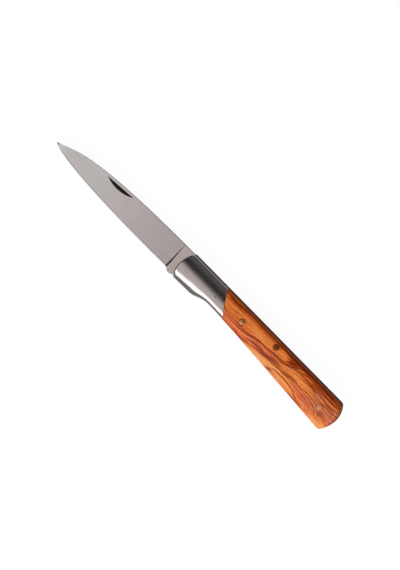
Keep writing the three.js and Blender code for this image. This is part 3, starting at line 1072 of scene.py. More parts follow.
VEINS = (
    # Painted shade along the back.
    Streak(Tone.BARK, 0.5, (
      (20, 9.2, 0.6), (25, 9.0, 0.7), (29.5, 8.8, 1), (34, 9.1, 0.6), (41, 9.2, 0.5), (53, 9.2, 0.5),
      (63, 9.2, 0.8), (70, 9.0, 1), (82, 9.3, 0.9), (87, 9.0, 0.8), (97, 8.7, 1), (104, 8.2, 0.9))),
    Streak(Tone.VEIN, 0.24, (
      (24.6, 3.9, 0.6), (26, 2.6, 0.9), (28, 1.85, 1), (31, 1.5, 0.9), (34, 1.4, 0.9), (37, 1.4, 1),
      (39, 1.65, 1), (41, 1.6, 0.8), (43, 1.4, 0.7), (45, 1.5, 0.8), (47, 2.0, 0.9), (48.5, 2.55, 1),
      (50, 2.85, 1), (52, 3.0, 0.9), (55, 3.1, 0.7), (58, 3.4, 0.8), (62, 4.0, 0.9), (65.5, 4.2, 1),
      (67, 4.3, 0.8))),
    Streak(Tone.VEIN, 0.24, (
      (36.5, 0.8, 0.3), (38.5, 0.5, 0.9), (40.5, 0.35, 1), (42.5, 0.45, 0.9), (44.5, 0.8, 0.8),
      (46.5, 1.3, 0.9), (48, 1.9, 1), (50, 2.3, 1), (52, 2.5, 0.9), (55, 2.7, 0.7), (59, 3.0, 0.6),
      (62, 3.4, 0.9), (64.5, 3.2, 1), (66.5, 3.3, 1), (68.5, 3.8, 0.9), (71, 4.6, 0.8),
      (73, 5.6, 0.6))),
    Streak(Tone.RUSSET, 0.5, (
      (47, 2.0, 0.0), (50.5, 2.6, 0.2), (53, 2.8, 0.2), (56, 2.9, 0.15), (60, 3.3, 0.2), (64, 3.6, 0.5),
      (67, 3.9, 0.6), (69, 4.6, 0.4))),
    Streak(Tone.RUSSET, 0.3, ((25, 3.0, 0.8), (28, 2.6, 0.5), (31, 2.4, 0.2))),
    Streak(Tone.RUSSET, 0.26, (
      (27, 0.5, 0.5), (31, 0.2, 0.7), (35, 0.1, 0.6), (39, -0.2, 0.5), (43, -0.1, 0.3))),
    Streak(Tone.RUSSET, 0.35, (
      (29, -2.1, 0.6), (33, -2.45, 0.9), (36, -2.45, 0.9), (38.5, -2.15, 0.8), (41, -2.55, 0.9),
      (43.5, -2.65, 0.9), (46, -2.15, 0.8), (48, -1.85, 0.4))),
    Streak(Tone.GLOW, 0.35, (
      (31, -0.7, 0.3), (37, -0.9, 0.8), (42, -0.7, 0.8), (47, 0.3, 0.7), (50, 1.0, 0.2))),
    Streak(Tone.PLUM, 0.38, (
      (45, -0.9, 0.2), (47, -0.4, 0.8), (49, 0.0, 1), (52, 0.2, 0.9), (55, 0.1, 0.7), (58, 0.0, 0.4))),
    Streak(Tone.RUSSET, 0.22, (
      (50, -0.9, 0.2), (53, -1.1, 0.6), (56, -1.0, 0.8), (59, -0.7, 0.6), (61, -0.5, 0.2))),
    Streak(Tone.PLUM, 0.75, (
      (52, -0.6, 0.1), (55, -0.5, 0.5), (58, -0.3, 0.9), (60, 0.1, 1), (63, 0.6, 1), (66, 0.7, 0.8),
      (69, 0.6, 0.5), (72, 0.7, 0.5), (75, 0.9, 0.7), (78, 1.1, 0.6), (82, 0.9, 0.1)), 0.4),
    Streak(Tone.VEIN, 0.22, (
      (49, -0.2, 0.5), (52.5, 0.3, 0.8), (55, 0.2, 0.8), (57.5, 0.4, 0.6), (60, 1.1, 0.7),
      (63, 1.5, 0.9), (66, 1.6, 0.9), (68.5, 1.4, 0.2))),
    Streak(Tone.VEIN, 0.22, (
      (51, -1.1, 0.3), (54, -1.4, 0.7), (57, -1.2, 0.8), (59, -0.8, 0.9), (61, -0.5, 0.9),
      (64, -0.6, 0.8), (67, -0.3, 0.8), (69.5, -0.1, 1), (72, 0, 1), (74, 0.5, 0.9), (76, 0.9, 0.8),
      (78, 1.0, 0.4))),
    Streak(Tone.VEIN, 0.2, (
      (72.5, 1.4, 0.3), (75.5, 1.6, 0.8), (77.5, 1.6, 0.8), (80, 1.1, 0.7), (83, 1.0, 0.6),
      (85, 1.1, 0.5))),
    Streak(Tone.GLOW, 0.25, ((51, 2.1, 0.3), (53.5, 2.15, 0.9), (55.5, 1.8, 0.9), (57.5, 1.4, 0.2))),
    Streak(Tone.RUSSET, 0.22, (
      (49.5, 1.9, 0.3), (51, 1.6, 0.8), (53, 1.4, 0.9), (55.5, 1.0, 0.8), (57.5, 0.7, 0.3))),
    Streak(Tone.BARK, 0.26, (
      (66, 4.0, 0.4), (68, 4.8, 0.8), (69, 5.9, 0.9), (70, 7.3, 0.9), (71, 8.6, 0.8))),
    Streak(Tone.BARK, 0.3, (
      (69, 4.0, 0.6), (71, 4.7, 0.8), (73, 5.5, 1), (74.5, 6.8, 0.9), (76, 7.9, 0.9), (79, 8.8, 0.8))),
    Streak(Tone.BARK, 0.5, ((70, 6.2, 0.2), (71, 6.8, 0.9), (72.3, 7.3, 0.8), (74, 7.0, 0.3))),
    Streak(Tone.RUSSET, 0.3, ((68.5, 3.9, 0.3), (70.5, 5.3, 0.9), (72, 6.3, 0.9), (74.5, 8.0, 0.7))),
    Streak(Tone.RUSSET, 0.25, ((70, 3.9, 0.4), (73, 4.6, 0.7), (76, 5.7, 0.6), (79, 6.4, 0.4))),
    Streak(Tone.GLOW, 0.28, ((75.2, 6.9, 0.3), (76.8, 7.4, 1), (78.2, 7.9, 0.9), (79.4, 8.3, 0.2))),
    Streak(Tone.GLOW, 0.28, ((79.5, 6.7, 0), (82.5, 7.1, 0.8), (85.5, 7.2, 0.3))),
    Streak(Tone.GLOW, 0.25, ((66.2, 5.1, 0.3), (67.4, 5.7, 0.9), (68.6, 6.6, 0.4))),
    Streak(Tone.BARK, 0.26, (
      (78, 6.4, 0.3), (80, 6.3, 0.8), (82.5, 6.1, 0.9), (85, 5.7, 1), (88, 5.3, 0.8), (91, 5.1, 0.7),
      (94, 5.1, 0.8), (97, 4.9, 0.9), (99.5, 4.5, 0.9), (102, 4.6, 0.9), (104.5, 5.2, 0.7))),
    Streak(Tone.BARK, 0.26, (
      (88, 7.8, 0.2), (93, 7.5, 0.8), (96, 7.1, 1), (99, 7.0, 1), (102, 7.1, 1), (104.7, 7.5, 0.6))),
    Streak(Tone.ROSE, 0.2, ((90, 8.0, 0), (95, 7.8, 0.7), (100, 7.7, 0.6), (103, 7.8, 0.2))),
    Streak(Tone.GLOW, 0.45, ((92, 6.3, 0), (96, 6.0, 0.4), (100, 5.8, 0.6), (104, 6.0, 0.3))),
    Streak(Tone.RUSSET, 0.24, ((76.5, -1.2, 0), (80, -1.0, 0.5), (85, -0.9, 0.5), (89, -1.3, 0.2))),
    Streak(Tone.HONEY, 0.4, (
      (62, -1.5, 0.2), (67, -1.15, 0.8), (72, -0.95, 0.8), (77, -1.15, 0.7), (81, -1.9, 0.2))),
    Streak(Tone.VEIN, 0.24, (
      (65, -2.6, 0.3), (67, -2.05, 0.8), (69, -1.95, 0.8), (72, -2.15, 0.8), (74, -1.85, 0.9),
      (77, -2.15, 1), (79, -2.55, 0.9), (81, -2.85, 0.9), (82.5, -3.55, 0.9), (84.5, -4.5, 0.6))),
    Streak(Tone.HONEY, 0.22, (
      (67, -2.6, 0.2), (72, -2.65, 0.6), (78, -3.1, 0.9), (81, -3.6, 0.9), (83.5, -4.6, 0.5))),
    Streak(Tone.PLUM, 0.6, ((61, -4.5, 0), (63, -4.0, 0.8), (64.6, -3.5, 0.9), (66, -3.1, 0.1))),
    Streak(Tone.RUSSET, 0.3, ((82, -3.9, 0.5), (85, -4.9, 0.9), (88, -5.4, 0.8), (91, -5.8, 0.2))),
    Streak(Tone.PLUM, 0.25, ((80, -5.1, 0.4), (85, -5.7, 0.9), (89, -6.1, 0.5), (92, -6.4, 0.1))),
    Streak(Tone.RUSSET, 0.2, (
      (85, 2.8, 0.3), (88, 3.05, 0.8), (90.5, 2.8, 0.9), (92.5, 2.1, 0.9), (94.3, 1.6, 0.5))),
    Streak(Tone.RUSSET, 0.22, (
      (87, 4.4, 0.3), (91, 3.7, 0.8), (94, 3.3, 0.9), (96, 3.0, 0.8), (99, 3.2, 0.7), (103, 3.0, 0.9),
      (106, 3.4, 0.7))),
    Streak(Tone.VEIN, 0.22, (
      (80.5, 0.8, 0.4), (83, 0.9, 0.8), (85, 1.1, 0.9), (87.5, 1.4, 1), (90, 1.2, 1), (92, 0.8, 1),
      (94.5, 0.5, 0.9))),
    Streak(Tone.VEIN, 0.22, (
      (85, -0.1, 0.3), (88, 0.1, 0.8), (90, 0.1, 1), (92, -0.4, 1), (94, -1.2, 1), (95.5, -2.1, 1),
      (96.5, -3.1, 0.9), (97.3, -3.9, 0.2))),
    Streak(Tone.PLUM, 0.8, ((97.3, -1.9, 0), (98.4, -1.8, 0.6), (99.4, -1.9, 0.6), (100.2, -2.2, 0))),
    Streak(Tone.RUSSET, 0.4, ((98.8, -0.5, 0), (99.7, -0.6, 0.9), (100.4, -0.8, 0))),
    Streak(Tone.RUSSET, 0.35, ((98.2, -2.6, 0), (99.1, -2.5, 0.8), (99.9, -2.3, 0))),
    Streak(Tone.RUSSET, 0.4, ((30, 5.0, 0.2), (32.5, 5.2, 0.8), (36, 4.9, 0.2))),
    Streak(Tone.RUSSET, 0.3, ((38, 4.8, 0.2), (41, 5.0, 0.5), (44, 4.7, 0.1))),
)

FLOW = (
    (20, 4.0), (28, 2.0), (34, 1.3), (41, 0.9), (45, 1.3), (50, 2.8), (57, 3.0), (66, 3.5), (70, 4.8),
    (75, 6.0), (82, 6.3), (92, 6.0), (107, 5.4))


@dataclass(frozen=True)
class OliveWood(Finish):
    """Oiled olive wood with dark wandering veins.

    A ramp in a field holds the two values between which it runs and its two heights. An edge
    holds the two heights of a pattern between which its lines, pores or bands start.

    Args:
        shift: How far along the plank this scale was cut from.
        slant: How far the veins move across for each millimetre of depth.
        side: The side that the scale covers.
        wall_shade: Tone painted over the walls of the back and the butt, as painted shade.
        pins: Middles of the pins, round which oil stain and a painted shadow of the gap darken the wood.
        fine_tone: The brightness of the wood, and how much the finest grain changes it.
        thread_back: Ramp across the wood by which pale threads thin out toward the back.
        grain_level: Height of the grain at which it makes a zone or vein no weaker.
        streak_end: How far a streak runs out beyond its route.
        flow_reach: Heights that the back and the belly have in the flow of the grain.
        back_rim: Ramp of the dark rim of painted shade by the distance from the back, as for belly and
            butt.
        back_rim_run: How strongly that rim shows along the handle.
        belly_rim_run: Where the belly's rim starts and where it ends.
        butt_rim_run: How far behind the arc's centre the butt's rim has its full strength.
        butt_rim_across: Heights in plan between which it starts.
        pin_ring: Ramp of the dark ring by the distance from a pin's middle.
    """

    shift: float = 0.0
    slant: float = 0.45
    side: Side = Side.MARK
    wall_shade: Tone = Tone.SHADED_WALL
    pins: tuple[Point, ...] = (SCALE_RIVET, SPRING_PIN, REAR_PIN)
    wander: Pattern = Pattern((0.13, 0.35, 0.3))
    wander_reach: float = 0.55
    fray: Pattern = Pattern((0.45, 1.5, 1.0), 5, 3)
    fray_reach: float = 0.45
    broad: Pattern = Pattern((0.035, 0.9, 0.35), 0, 3)
    broad_edge: Point = (0.35, 0.68)
    grain: Pattern = Pattern((0.10, 3.4, 1.0), 3, 3, 0.6)
    grain_dark: Ramp = (0.50, 0.32, 0, 0.7)
    grain_light: Ramp = (0.54, 0.72, 0, 0.5)
    grain_gloss: Ramp = (0.3, 0.7, 0.42, 0.34)
    fine: Pattern = Pattern((0.25, 9.0, 3.0), 9)
    fine_tone: Point = (1.03, 0.55)
    fine_relief: float = 0.5
    thread: Pattern = Pattern((0.22, 2.1, 0.8), 31, 4, 0.7)
    thread_light: Ramp = (0.52, 0.70, 0, 0.5)
    thread_dark: Ramp = (0.46, 0.30, 0, 0.4)
    thread_back: Ramp = (8.0, 5.5, 0.1, 1)
    pores: Pattern = Pattern((1.1, 12.0, 6.0), 21, 1)
    pore_edge: Point = (0.66, 0.74)
    pore_dark: float = 0.5
    pore_gloss: float = 0.2
    pore_depth: float = 0.012
    wall_cover: float = 0.9
    wall_gloss: float = 0.45
    wall_tilt: Point = (0.75, 0.3)
    wall_across: Point = (-5.5, -2.0)
    shine: float = 0.06
    zone_break: float = 0.35
    vein_break: float = 0.8
    grain_level: float = 0.35
    streak_end: float = 1.5
    flow_reach: Point = (6, -7)
    back_rim: Ramp = (1.7, 0.4, 0, 0.85)
    back_rim_run: tuple[Point, ...] = ((20, 0.35), (33, 0.4), (37, 0.8), (58, 0.85), (70, 1.0))
    belly_rim: Ramp = (0.5, 0.1, 0, 0.45)
    belly_rim_run: tuple[Point, Point] = ((58, 66), (92, 86))
    butt_rim: Ramp = (1.6, 0.1, 0, 0.7)
    butt_rim_run: float = 4.0
    butt_rim_across: Point = (-5.0, -1.0)
    pin_ring: Ramp = (2.0, 1.65, 0, 0.75)

    def paint(self, nodes: Nodes, place: Socket) -> None:
        """Lays zones, grain, veins and pores over the base colour.

        Args:
            nodes: The material's tree.
            place: The place in drawing millimetres.
        """
        parts = nodes.parts(place)
        x = nodes.plus(parts[0], self.shift)
        depth = nodes.minus(HandleShape().top, nodes.times(parts[2], self.side.value))
        wander = nodes.noise(place, self.wander, self.shift)
        fray = nodes.noise(place, self.fray, self.shift)
        y = nodes.plus(parts[1], nodes.swing(wander, self.wander_reach))
        y = nodes.plus(y, nodes.swing(fray, self.fray_reach))
        y = nodes.plus(y, nodes.times(depth, self.slant))
        flow = self.flow(nodes, x, y)
        along = nodes.add("CombineXYZ", {0: x, 1: flow, 2: parts[2]}).outputs[0]
        broad = nodes.noise(along, self.broad)
        grain = nodes.noise(along, self.grain)
        fine = nodes.noise(along, self.fine)
        thread = nodes.noise(along, self.thread, self.shift)

        colour = nodes.mix(nodes.ramp(broad, *self.broad_edge), self.colour, Tone.GLOW)
        for streak in ZONES:
            share = self.trace(nodes, streak, (x, y, grain), self.zone_break)
            colour = nodes.mix(share, colour, streak.tone)
        colour = nodes.mix(nodes.ramp(grain, *self.grain_dark), colour, Tone.RUSSET)
        colour = nodes.mix(nodes.ramp(grain, *self.grain_light), colour, Tone.HONEY)
        pale = nodes.times(nodes.ramp(thread, *self.thread_light), nodes.ramp(y, *self.thread_back))
        colour = nodes.mix(pale, colour, Tone.SALMON)
        colour = nodes.mix(nodes.ramp(thread, *self.thread_dark), colour, Tone.RUSSET)
        for streak in VEINS:
            share = self.trace(nodes, streak, (x, y, grain), self.vein_break)
            colour = nodes.mix(share, colour, streak.tone)
        bright, contrast = self.fine_tone
        shade = nodes.plus(bright, nodes.swing(fine, contrast))
        colour = nodes.mix(1.0, colour, nodes.grey(shade), "MULTIPLY")

        # Painted shade along the edges, and dark rings round the pins.
        colour = self.paint_rim_shade(nodes, place, colour)
        wall_shade = self.shaded_walls(nodes, place)
        # Painted shade over the walls of the back and the butt.
        colour = nodes.mix(nodes.times(wall_shade, self.wall_cover), colour, self.wall_shade)
        pits = nodes.ramp(nodes.noise(along, self.pores), *self.pore_edge)
        colour = nodes.mix(nodes.times(pits, self.pore_dark), colour, Tone.VEIN)
        rough = nodes.plus(nodes.ramp(grain, *self.grain_gloss), nodes.times(pits, self.pore_gloss))
        rough = nodes.plus(rough, nodes.times(wall_shade, self.wall_gloss), clamp=True)
        relief = nodes.minus(nodes.times(fine, self.fine_relief), pits)
        nodes.surface(
            Base_Color=colour,
            Roughness=rough,
            Normal=nodes.bump(relief, self.pore_depth),
            Specular_IOR_Level=nodes.straight(wall_shade, 0.0, 1.0, self.shine, 0.0),
        )

    def paint_rim_shade(self, nodes: Nodes, place: Socket, colour: Socket) -> Socket:
        """Darkens the wood along its back, belly and butt, as painted shade, and round the pins, as
        painted shadow of the gaps together with oil stain.

        Args:
            nodes: The material's tree.
            place: The place in drawing millimetres.
            colour: The wood's colour so far.

        Returns:
            The darkened colour.
        """
        shape = HandleShape()
        x, y, _ = nodes.parts(place)
        rear_height = shape.back_height - shape.back_fall
        back = nodes.straight(x, 0, shape.reach, shape.back_height, rear_height)
        # Painted shade along the back, where the crown turns from the light.
        rim = nodes.ramp(nodes.minus(back, y), *self.back_rim)
        rim = nodes.times(rim, nodes.curve(x, self.back_rim_run))
        colour = nodes.mix(rim, colour, Tone.BARK)
        # Painted shade along the belly's rounded edge.
        swell = shape.belly()[2 * shape.steps :: shape.steps // 4]
        belly = nodes.curve(x, [(float(a), float(b)) for a, b in swell])
        edge = nodes.ramp(nodes.minus(y, belly), *self.belly_rim)
        middle = nodes.times(*[nodes.ramp(x, *run) for run in self.belly_rim_run])
        colour = nodes.mix(nodes.times(edge, middle), colour, Tone.RUSSET)
        flat = nodes.stretched(place, (1, 1, 0))
        # Painted shade along the upper butt.
        past = nodes.distance(flat, shape.butt_centre)
        outer, inner, low, high = self.butt_rim
        tip = nodes.ramp(past, shape.butt_radius - outer, shape.butt_radius - inner, low, high)
        centre_x = shape.butt_centre[0]
        tip = nodes.times(tip, nodes.ramp(x, centre_x, centre_x + self.butt_rim_run))
        tip = nodes.times(tip, nodes.ramp(y, *self.butt_rim_across))
        colour = nodes.mix(tip, colour, Tone.BARK)
        # Dark rings round the pins: painted shadow of the gaps together with oil stain.
        for pin in self.pins:
            ring = nodes.ramp(nodes.distance(flat, pin), *self.pin_ring)
            colour = nodes.mix(ring, colour, Tone.BARK)
        return colour

    def shaded_walls(self, nodes: Nodes, place: Socket) -> Socket:
        """Finds the walls of the back and the butt, which carry painted shade.

        Args:
            nodes: The material's tree.
            place: The place in drawing millimetres.

        Returns:
            1 on those walls and 0 elsewhere.
        """
        across = nodes.parts(place)[1]
        upright = nodes.parts(nodes.add("NewGeometry").outputs["Normal"])[2]
        wall_shade = nodes.ramp(nodes.math("ABSOLUTE", upright), *self.wall_tilt)
        return nodes.times(wall_shade, nodes.ramp(across, *self.wall_across))

    def flow(self, nodes: Nodes, x: Socket, y: Socket) -> Socket:
        """Gives a height across the wood that keeps level along the main vein and both edges.

        Args:
            nodes: The material's tree.
            x: The place along.
            y: The place across.

        Returns:
            The height, 0 on the main vein.
        """
        shape = HandleShape()
        middle = nodes.curve(x, FLOW)
        above = nodes.straight(y, middle, shape.back_height, 0, self.flow_reach[0])
        belly = nodes.straight(x, shape.waist_set, shape.reach, -shape.waist_depth, -shape.butt_depth)
        below = nodes.straight(y, middle, belly, 0, self.flow_reach[1])
        share = nodes.math("GREATER_THAN", y, middle)
        return nodes.add("Mix", {0: share, 2: below, 3: above}).outputs[0]

    def trace(
        self, nodes: Nodes, streak: Streak, spot: tuple[Socket, Socket, Socket], ragged: float
    ) -> Socket:
        """Draws one streak.

        Args:
            nodes: The material's tree.
            streak: The streak.
            spot: The places along and across, and the grain there.
            ragged: How strongly the grain breaks the streak up.

        Returns:
            How much of the streak shows, from 0 to 1.
        """
        x, y, grain = spot
        middle = nodes.curve(x, [(p[0], p[1]) for p in streak.route])
        strength = nodes.curve(x, [(p[0], p[2]) for p in streak.route])
        off = nodes.math("ABSOLUTE", nodes.minus(y, middle))
        outer, inner = (streak.half_width * (1 + sign * streak.soft) for sign in (1, -1))
        mask = nodes.times(nodes.ramp(off, outer, inner), strength)
        broken = nodes.minus(1.0 + self.grain_level * ragged, nodes.times(grain, ragged))
        mask = nodes.times(mask, broken)
        start, end = streak.route[0][0], streak.route[-1][0]
        front = nodes.ramp(x, start - self.streak_end, start)
        rear = nodes.ramp(x, end + self.streak_end, end)
        return nodes.times(mask, nodes.times(front, rear), clamp=True)


# Dark edge tints paint shade into the steels' grazing reflections of the bright floor.
DIM = (0.15, 0.15, 0.15)
SATIN = LinedSteel(
    "satin_blade_steel", (0.455, 0.406, 0.410), roughness=0.22, scuffs=0.15, edge_tint=DIM,
    fade=Fade(-80, -5, (0.620, 0.602, 0.609), DIM), shaded_point=True)
RICASSO = LinedSteel(
    "fine_ricasso_steel", (0.62, 0.53, 0.525), roughness=0.2, scuffs=0.1, edge_tint=DIM)
KEEN = LinedSteel(
    "honed_edge_steel", (0.50, 0.46, 0.46), roughness=0.42, lines=(9.0, 1.0, 1.0),
    edge_tint=(0.2, 0.2, 0.2))
# The plunge's dark colour is painted shade on its steep face.
WHEEL_CUT = LinedSteel(
    "wheel_cut_plunge_painted_shade", (0.16, 0.14, 0.135), roughness=0.5, lines=(0.5, 4.0, 4.0), depth=0.008, mottle=0.2)
# The nail nick's near-black colour is painted shade and painted dark reflection.
MILLED = LinedSteel(
    "milled_nick_painted_shade", (0.045, 0.027, 0.024), roughness=0.45, lines=(0.3, 5.0, 5.0), depth=0.008,
    mottle=0.2, metallic=0.7)
# The bolster's darker edge tint is painted shade on its walls.
BOLSTER = LinedSteel(
    "polished_bolster_steel", (0.62, 0.575, 0.565), roughness=0.15, lines=(0.5, 2.2, 0.5), depth=0.0006,
    mottle=0.02, scuffs=0.25, edge_tint=(0.24, 0.235, 0.245))
BLADE_STEELS = (SATIN, KEEN, WHEEL_CUT, RICASSO)
POLISHED = {
    Side.MARK: BOLSTER,
    # The pile side's copy of the polished steel has a near-black edge tint: painted shade by the floor.
    Side.PILE: replace(BOLSTER, name="polished_pile_painted_shade", edge_tint=(0.06, 0.06, 0.06)),
}
# Spring and liners are darkened, browner and darker still along the scales, with near-black edge tints:
# painted shade of the knife's back.
GROUND = LinedSteel(
    "ground_steel_painted_shade", (0.17, 0.145, 0.135), roughness=0.42, lines=(0.25, 5.0, 5.0), depth=0.003,
    mottle=0.10, edge_tint=(0.052, 0.049, 0.049),
    fade=Fade(24, 20, (0.20, 0.095, 0.062), (0.095, 0.025, 0.013)))
BRASS = PinBrass("dulled_pin_brass", (1.0, 0.43, 0.18))
# A darker, browner copy of the brass for the spring pin under the back's crown: painted shade.
SHADED_BRASS = PinBrass("pin_brass_painted_shade", (0.92, 0.24, 0.055))
WOOD = {
    Side.MARK: OliveWood("olive_wood_mark_side", Tone.ORANGE.value),
    # The pile side's walls take the darker painted shade.
    Side.PILE: OliveWood(
        "olive_wood_pile_side", Tone.ORANGE.value, shift=-6.0, side=Side.PILE, wall_shade=Tone.SMOKE),
}


# Sub-assemblies


class Ground(IntEnum):
    """The surfaces of the blade, by the places of their steels in BLADE_STEELS."""

    GRIND = 0
    EDGE = 1
    PLUNGE = 2
    FLAT = 3


@dataclass
class Blade:
    """The blade with its grind, plunge, ricasso, tang and nail nick.

    Args:
        spine_rise: How the spine leaves the point, along and up, as for the edge's fall.
        spine_level: How far behind the point it turns level.
        edge_heel: How the edge comes to the heel, along and down.
        point_wedge: Thickness of the spine for each millimetre of the blade's height.
        thin: The most that chamfer, bevel and edge take of a thin section.
        crowding: How much closer the stations stand toward the point.
        choil: How the tang leaves the heel, down and then toward the kick.
        kick_round: How far the kick is rounded toward the heel and toward the pivot.
        steps: Steps of the long curves, the small curves, the round end and the back.
    """

    bench: Bench
    shape: HandleShape
    reach: float = 93.0
    spine_fall: float = 0.2
    spine_rise: Point = (12.6, 4.7)
    spine_level: float = 17.2
    edge_fall: Point = (10.6, -6.1)
    edge_heel: Point = (7.0, 0.12)
    thickness: float = 2.5
    point_thickness: float = 0.7
    point_height: float = 0.2
    point_wedge: float = 0.12
    point_rest: float = 0.03
    thin: tuple[float, float, float] = (0.3, 0.6, 0.5)
    heel: Point = (-8.75, -5.0)
    edge_thickness: float = 0.08
    bevel_thickness: float = 0.68
    bevel_width: float = 0.6
    grind_step: float = 0.03
    plunge_run: float = 1.25
    plunge_end: float = 0.2
    plunge_lean: float = 1.2
    plunge_bow: float = 1.3
    plunge_rise: float = 1.3
    chamfer: float = 0.12
    nick_length: float = 17.4
    nick_width: float = 2.4
    nick_depth: float = 0.65
    nick_place: Point = (-54.5, 7.1)
    nick_slope_deg: float = 4.3
    seat_height: float = 5.45
    seat_reach: float = 3.2
    tang_radius: float = 5.8
    kick: Point = (-6.3, -6.25)
    kick_end: float = -8.55
    choil: tuple[float, Point] = (0.05, (0.5, 0.15))
    kick_round: Point = (1.3, 1.4)
    seat_round: float = 1.2
    notch: float = -2.05
    pivot_hole: float = 1.55
    drill_reach: float = 5.0
    crease_deg: float = 11
    steps: tuple[int, int, int, int] = (400, 16, 40, 30)
    stations: int = 150
    crowding: float = 1.5
    grind_rows: int = 10
    plunge_columns: int = 6
    wheel_sides: int = 900
    rows: list[float] = field(init=False)

    def __post_init__(self) -> None:
        """Draws the two long curves."""
        tip, half = -self.reach, self.point_height / 2
        level = (tip + self.spine_level, self.shape.back_height - self.spine_fall)
        back = (self.notch, self.shape.back_y(self.notch))
        rise = (tip + self.spine_rise[0], self.spine_rise[1])
        self.spine = bezier([(tip, half), rise, level, back], self.steps[0])
        fall = (tip + self.edge_fall[0], self.edge_fall[1])
        ahead = (self.heel[0] - self.edge_heel[0], self.heel[1] - self.edge_heel[1])
        self.edge = bezier([(tip, -half), fall, ahead, self.heel], self.steps[0])
        self.rows = [i / self.grind_rows for i in range(self.grind_rows + 1)]

    def spine_half(self, x: float) -> float:
        """Gives half the thickness of the ground blade at its spine.

        Args:
            x: The place along the knife.

        Returns:
            The half thickness there.
        """
        back = min(max((self.heel[0] - x) / (self.reach + self.heel[0]), 0), 1)
        full = self.thickness / 2 - self.grind_step
        deep = np.interp(x, *self.spine.T) - np.interp(x, *self.edge.T)
        tapered = full + (self.point_thickness / 2 - full) * back**2
        return min(tapered, self.point_wedge * deep + self.point_rest)

    def plunge(self, row: float) -> tuple[float, float]:
        """Gives where the plunge leaves the grind and where it ends.

        Args:
            row: The share of the way from edge to spine.

        Returns:
            The places along the knife of its foot and its top.
        """
        top = self.heel[0] - self.plunge_lean * row**self.plunge_bow
        return top - self.plunge_run - (self.plunge_end - self.plunge_run) * row, top

    def section(self, x: float, row: float, lift: float = 0.0) -> tuple[float, float]:
        """Gives one point of the ground section.

        Args:
            x: The place along the knife.
            row: The share of the way from edge to spine, below 0 for the edge itself.
            lift: How far the plunge has risen, from the grind at 0 to the flat at 1.

        Returns:
            Its height in plan and its half thickness.
        """
        low, high = np.interp(x, *self.edge.T), np.interp(x, *self.spine.T)
        chamfer_share, bevel_share, edge_share = self.thin
        chamfer = min(self.chamfer, chamfer_share * (high - low))
        spine_half = self.spine_half(x)
        full_bevel, full_edge = self.bevel_thickness / 2, self.edge_thickness / 2
        bevel_half = min(full_bevel, spine_half * bevel_share)
        edge_half = min(full_edge, edge_share * bevel_half)
        bevel = self.bevel_width * (bevel_half - edge_half) / (full_bevel - full_edge)
        if row < 0:
            y, half = low, edge_half
        else:
            y = low + bevel + row * (high - chamfer - low - bevel)
            half = bevel_half + (spine_half - bevel_half) * row
        return float(y), float(half + (self.thickness / 2 - half) * lift)

    def columns(self) -> list[list[tuple[float, float, float]]]:
        """Gives the ground part of the mark side, column by column from the point.

        Returns:
            Each column from the edge to the top of the spine's chamfer.
        """
        spots = [((i / self.stations) ** self.crowding, 0.0) for i in range(self.stations + 1)]
        spots += [(1.0, (i + 1) / self.plunge_columns) for i in range(self.plunge_columns)]
        found = []
        for ground, risen in spots:
            column = []
            for row in [-1.0, *self.rows]:
                foot, top = self.plunge(max(row, 0))
                x = -self.reach + (foot + self.reach) * ground
                x = foot + (top - foot) * risen if risen else x
                column.append((x, *self.section(x, row, risen**self.plunge_rise)))
            found.append(column)
        for column in found:
            x, _, half = column[-1]
            column.append((x, float(np.interp(x, *self.spine.T)), half - min(self.chamfer, half / 3)))
        return found

    def tang_outline(self) -> np.ndarray:
        """Draws the tang from the heel round to the spine at the top of the plunge.

        Returns:
            Its points, anticlockwise, without the heel and the top of the plunge.
        """
        kick_x, kick_y = self.kick
        seat = math.asin(self.seat_height / self.tang_radius)
        drop, (turn_x, turn_y) = self.choil
        before, after = self.kick_round
        rise = [
            (self.kick_end, self.heel[1] - drop),
            (self.kick_end + turn_x, kick_y + turn_y),
            (kick_x - before, kick_y),
            self.kick,
        ]
        corner = (-self.seat_reach, -self.seat_height)
        fall = [self.kick, (kick_x + after, kick_y), (corner[0] - self.seat_round, corner[1]), corner]
        _, small, round_end, straight = self.steps
        top_x = self.plunge(1)[1]
        back_x = np.linspace(self.notch, top_x, straight)[1:-1]
        back = np.stack([back_x, np.interp(back_x, *self.spine.T)], -1)
        notch = np.array([(self.notch, self.seat_height), (self.notch, self.shape.back_y(self.notch))])
        end = arc((0, 0), self.tang_radius, -seat, seat, round_end)
        return chain(bezier(rise, small), bezier(fall, small), end, notch, back)

    def make(self) -> bpy.types.Object:
        """Builds the blade.

        Returns:
            The piece, ground, cut and dressed.
        """
        columns = self.columns()
        deep = len(columns[0])
        tang = self.tang_outline()
        ring = np.concatenate([[self.heel], tang])
        closing = np.array([columns[-1][-1][:2]])
        inner = inset(np.concatenate([ring, closing]), self.chamfer)[1:-1]
        full = self.thickness / 2
        points = [p for column in columns for p in column]
        first_inner = len(points)
        points += [(x, y, full) for x, y in inner]
        first_outer = len(points)
        points += [(x, y, full - self.chamfer) for x, y in ring]
        other = len(points)
        points += [(x, y, -z) for x, y, z in points]

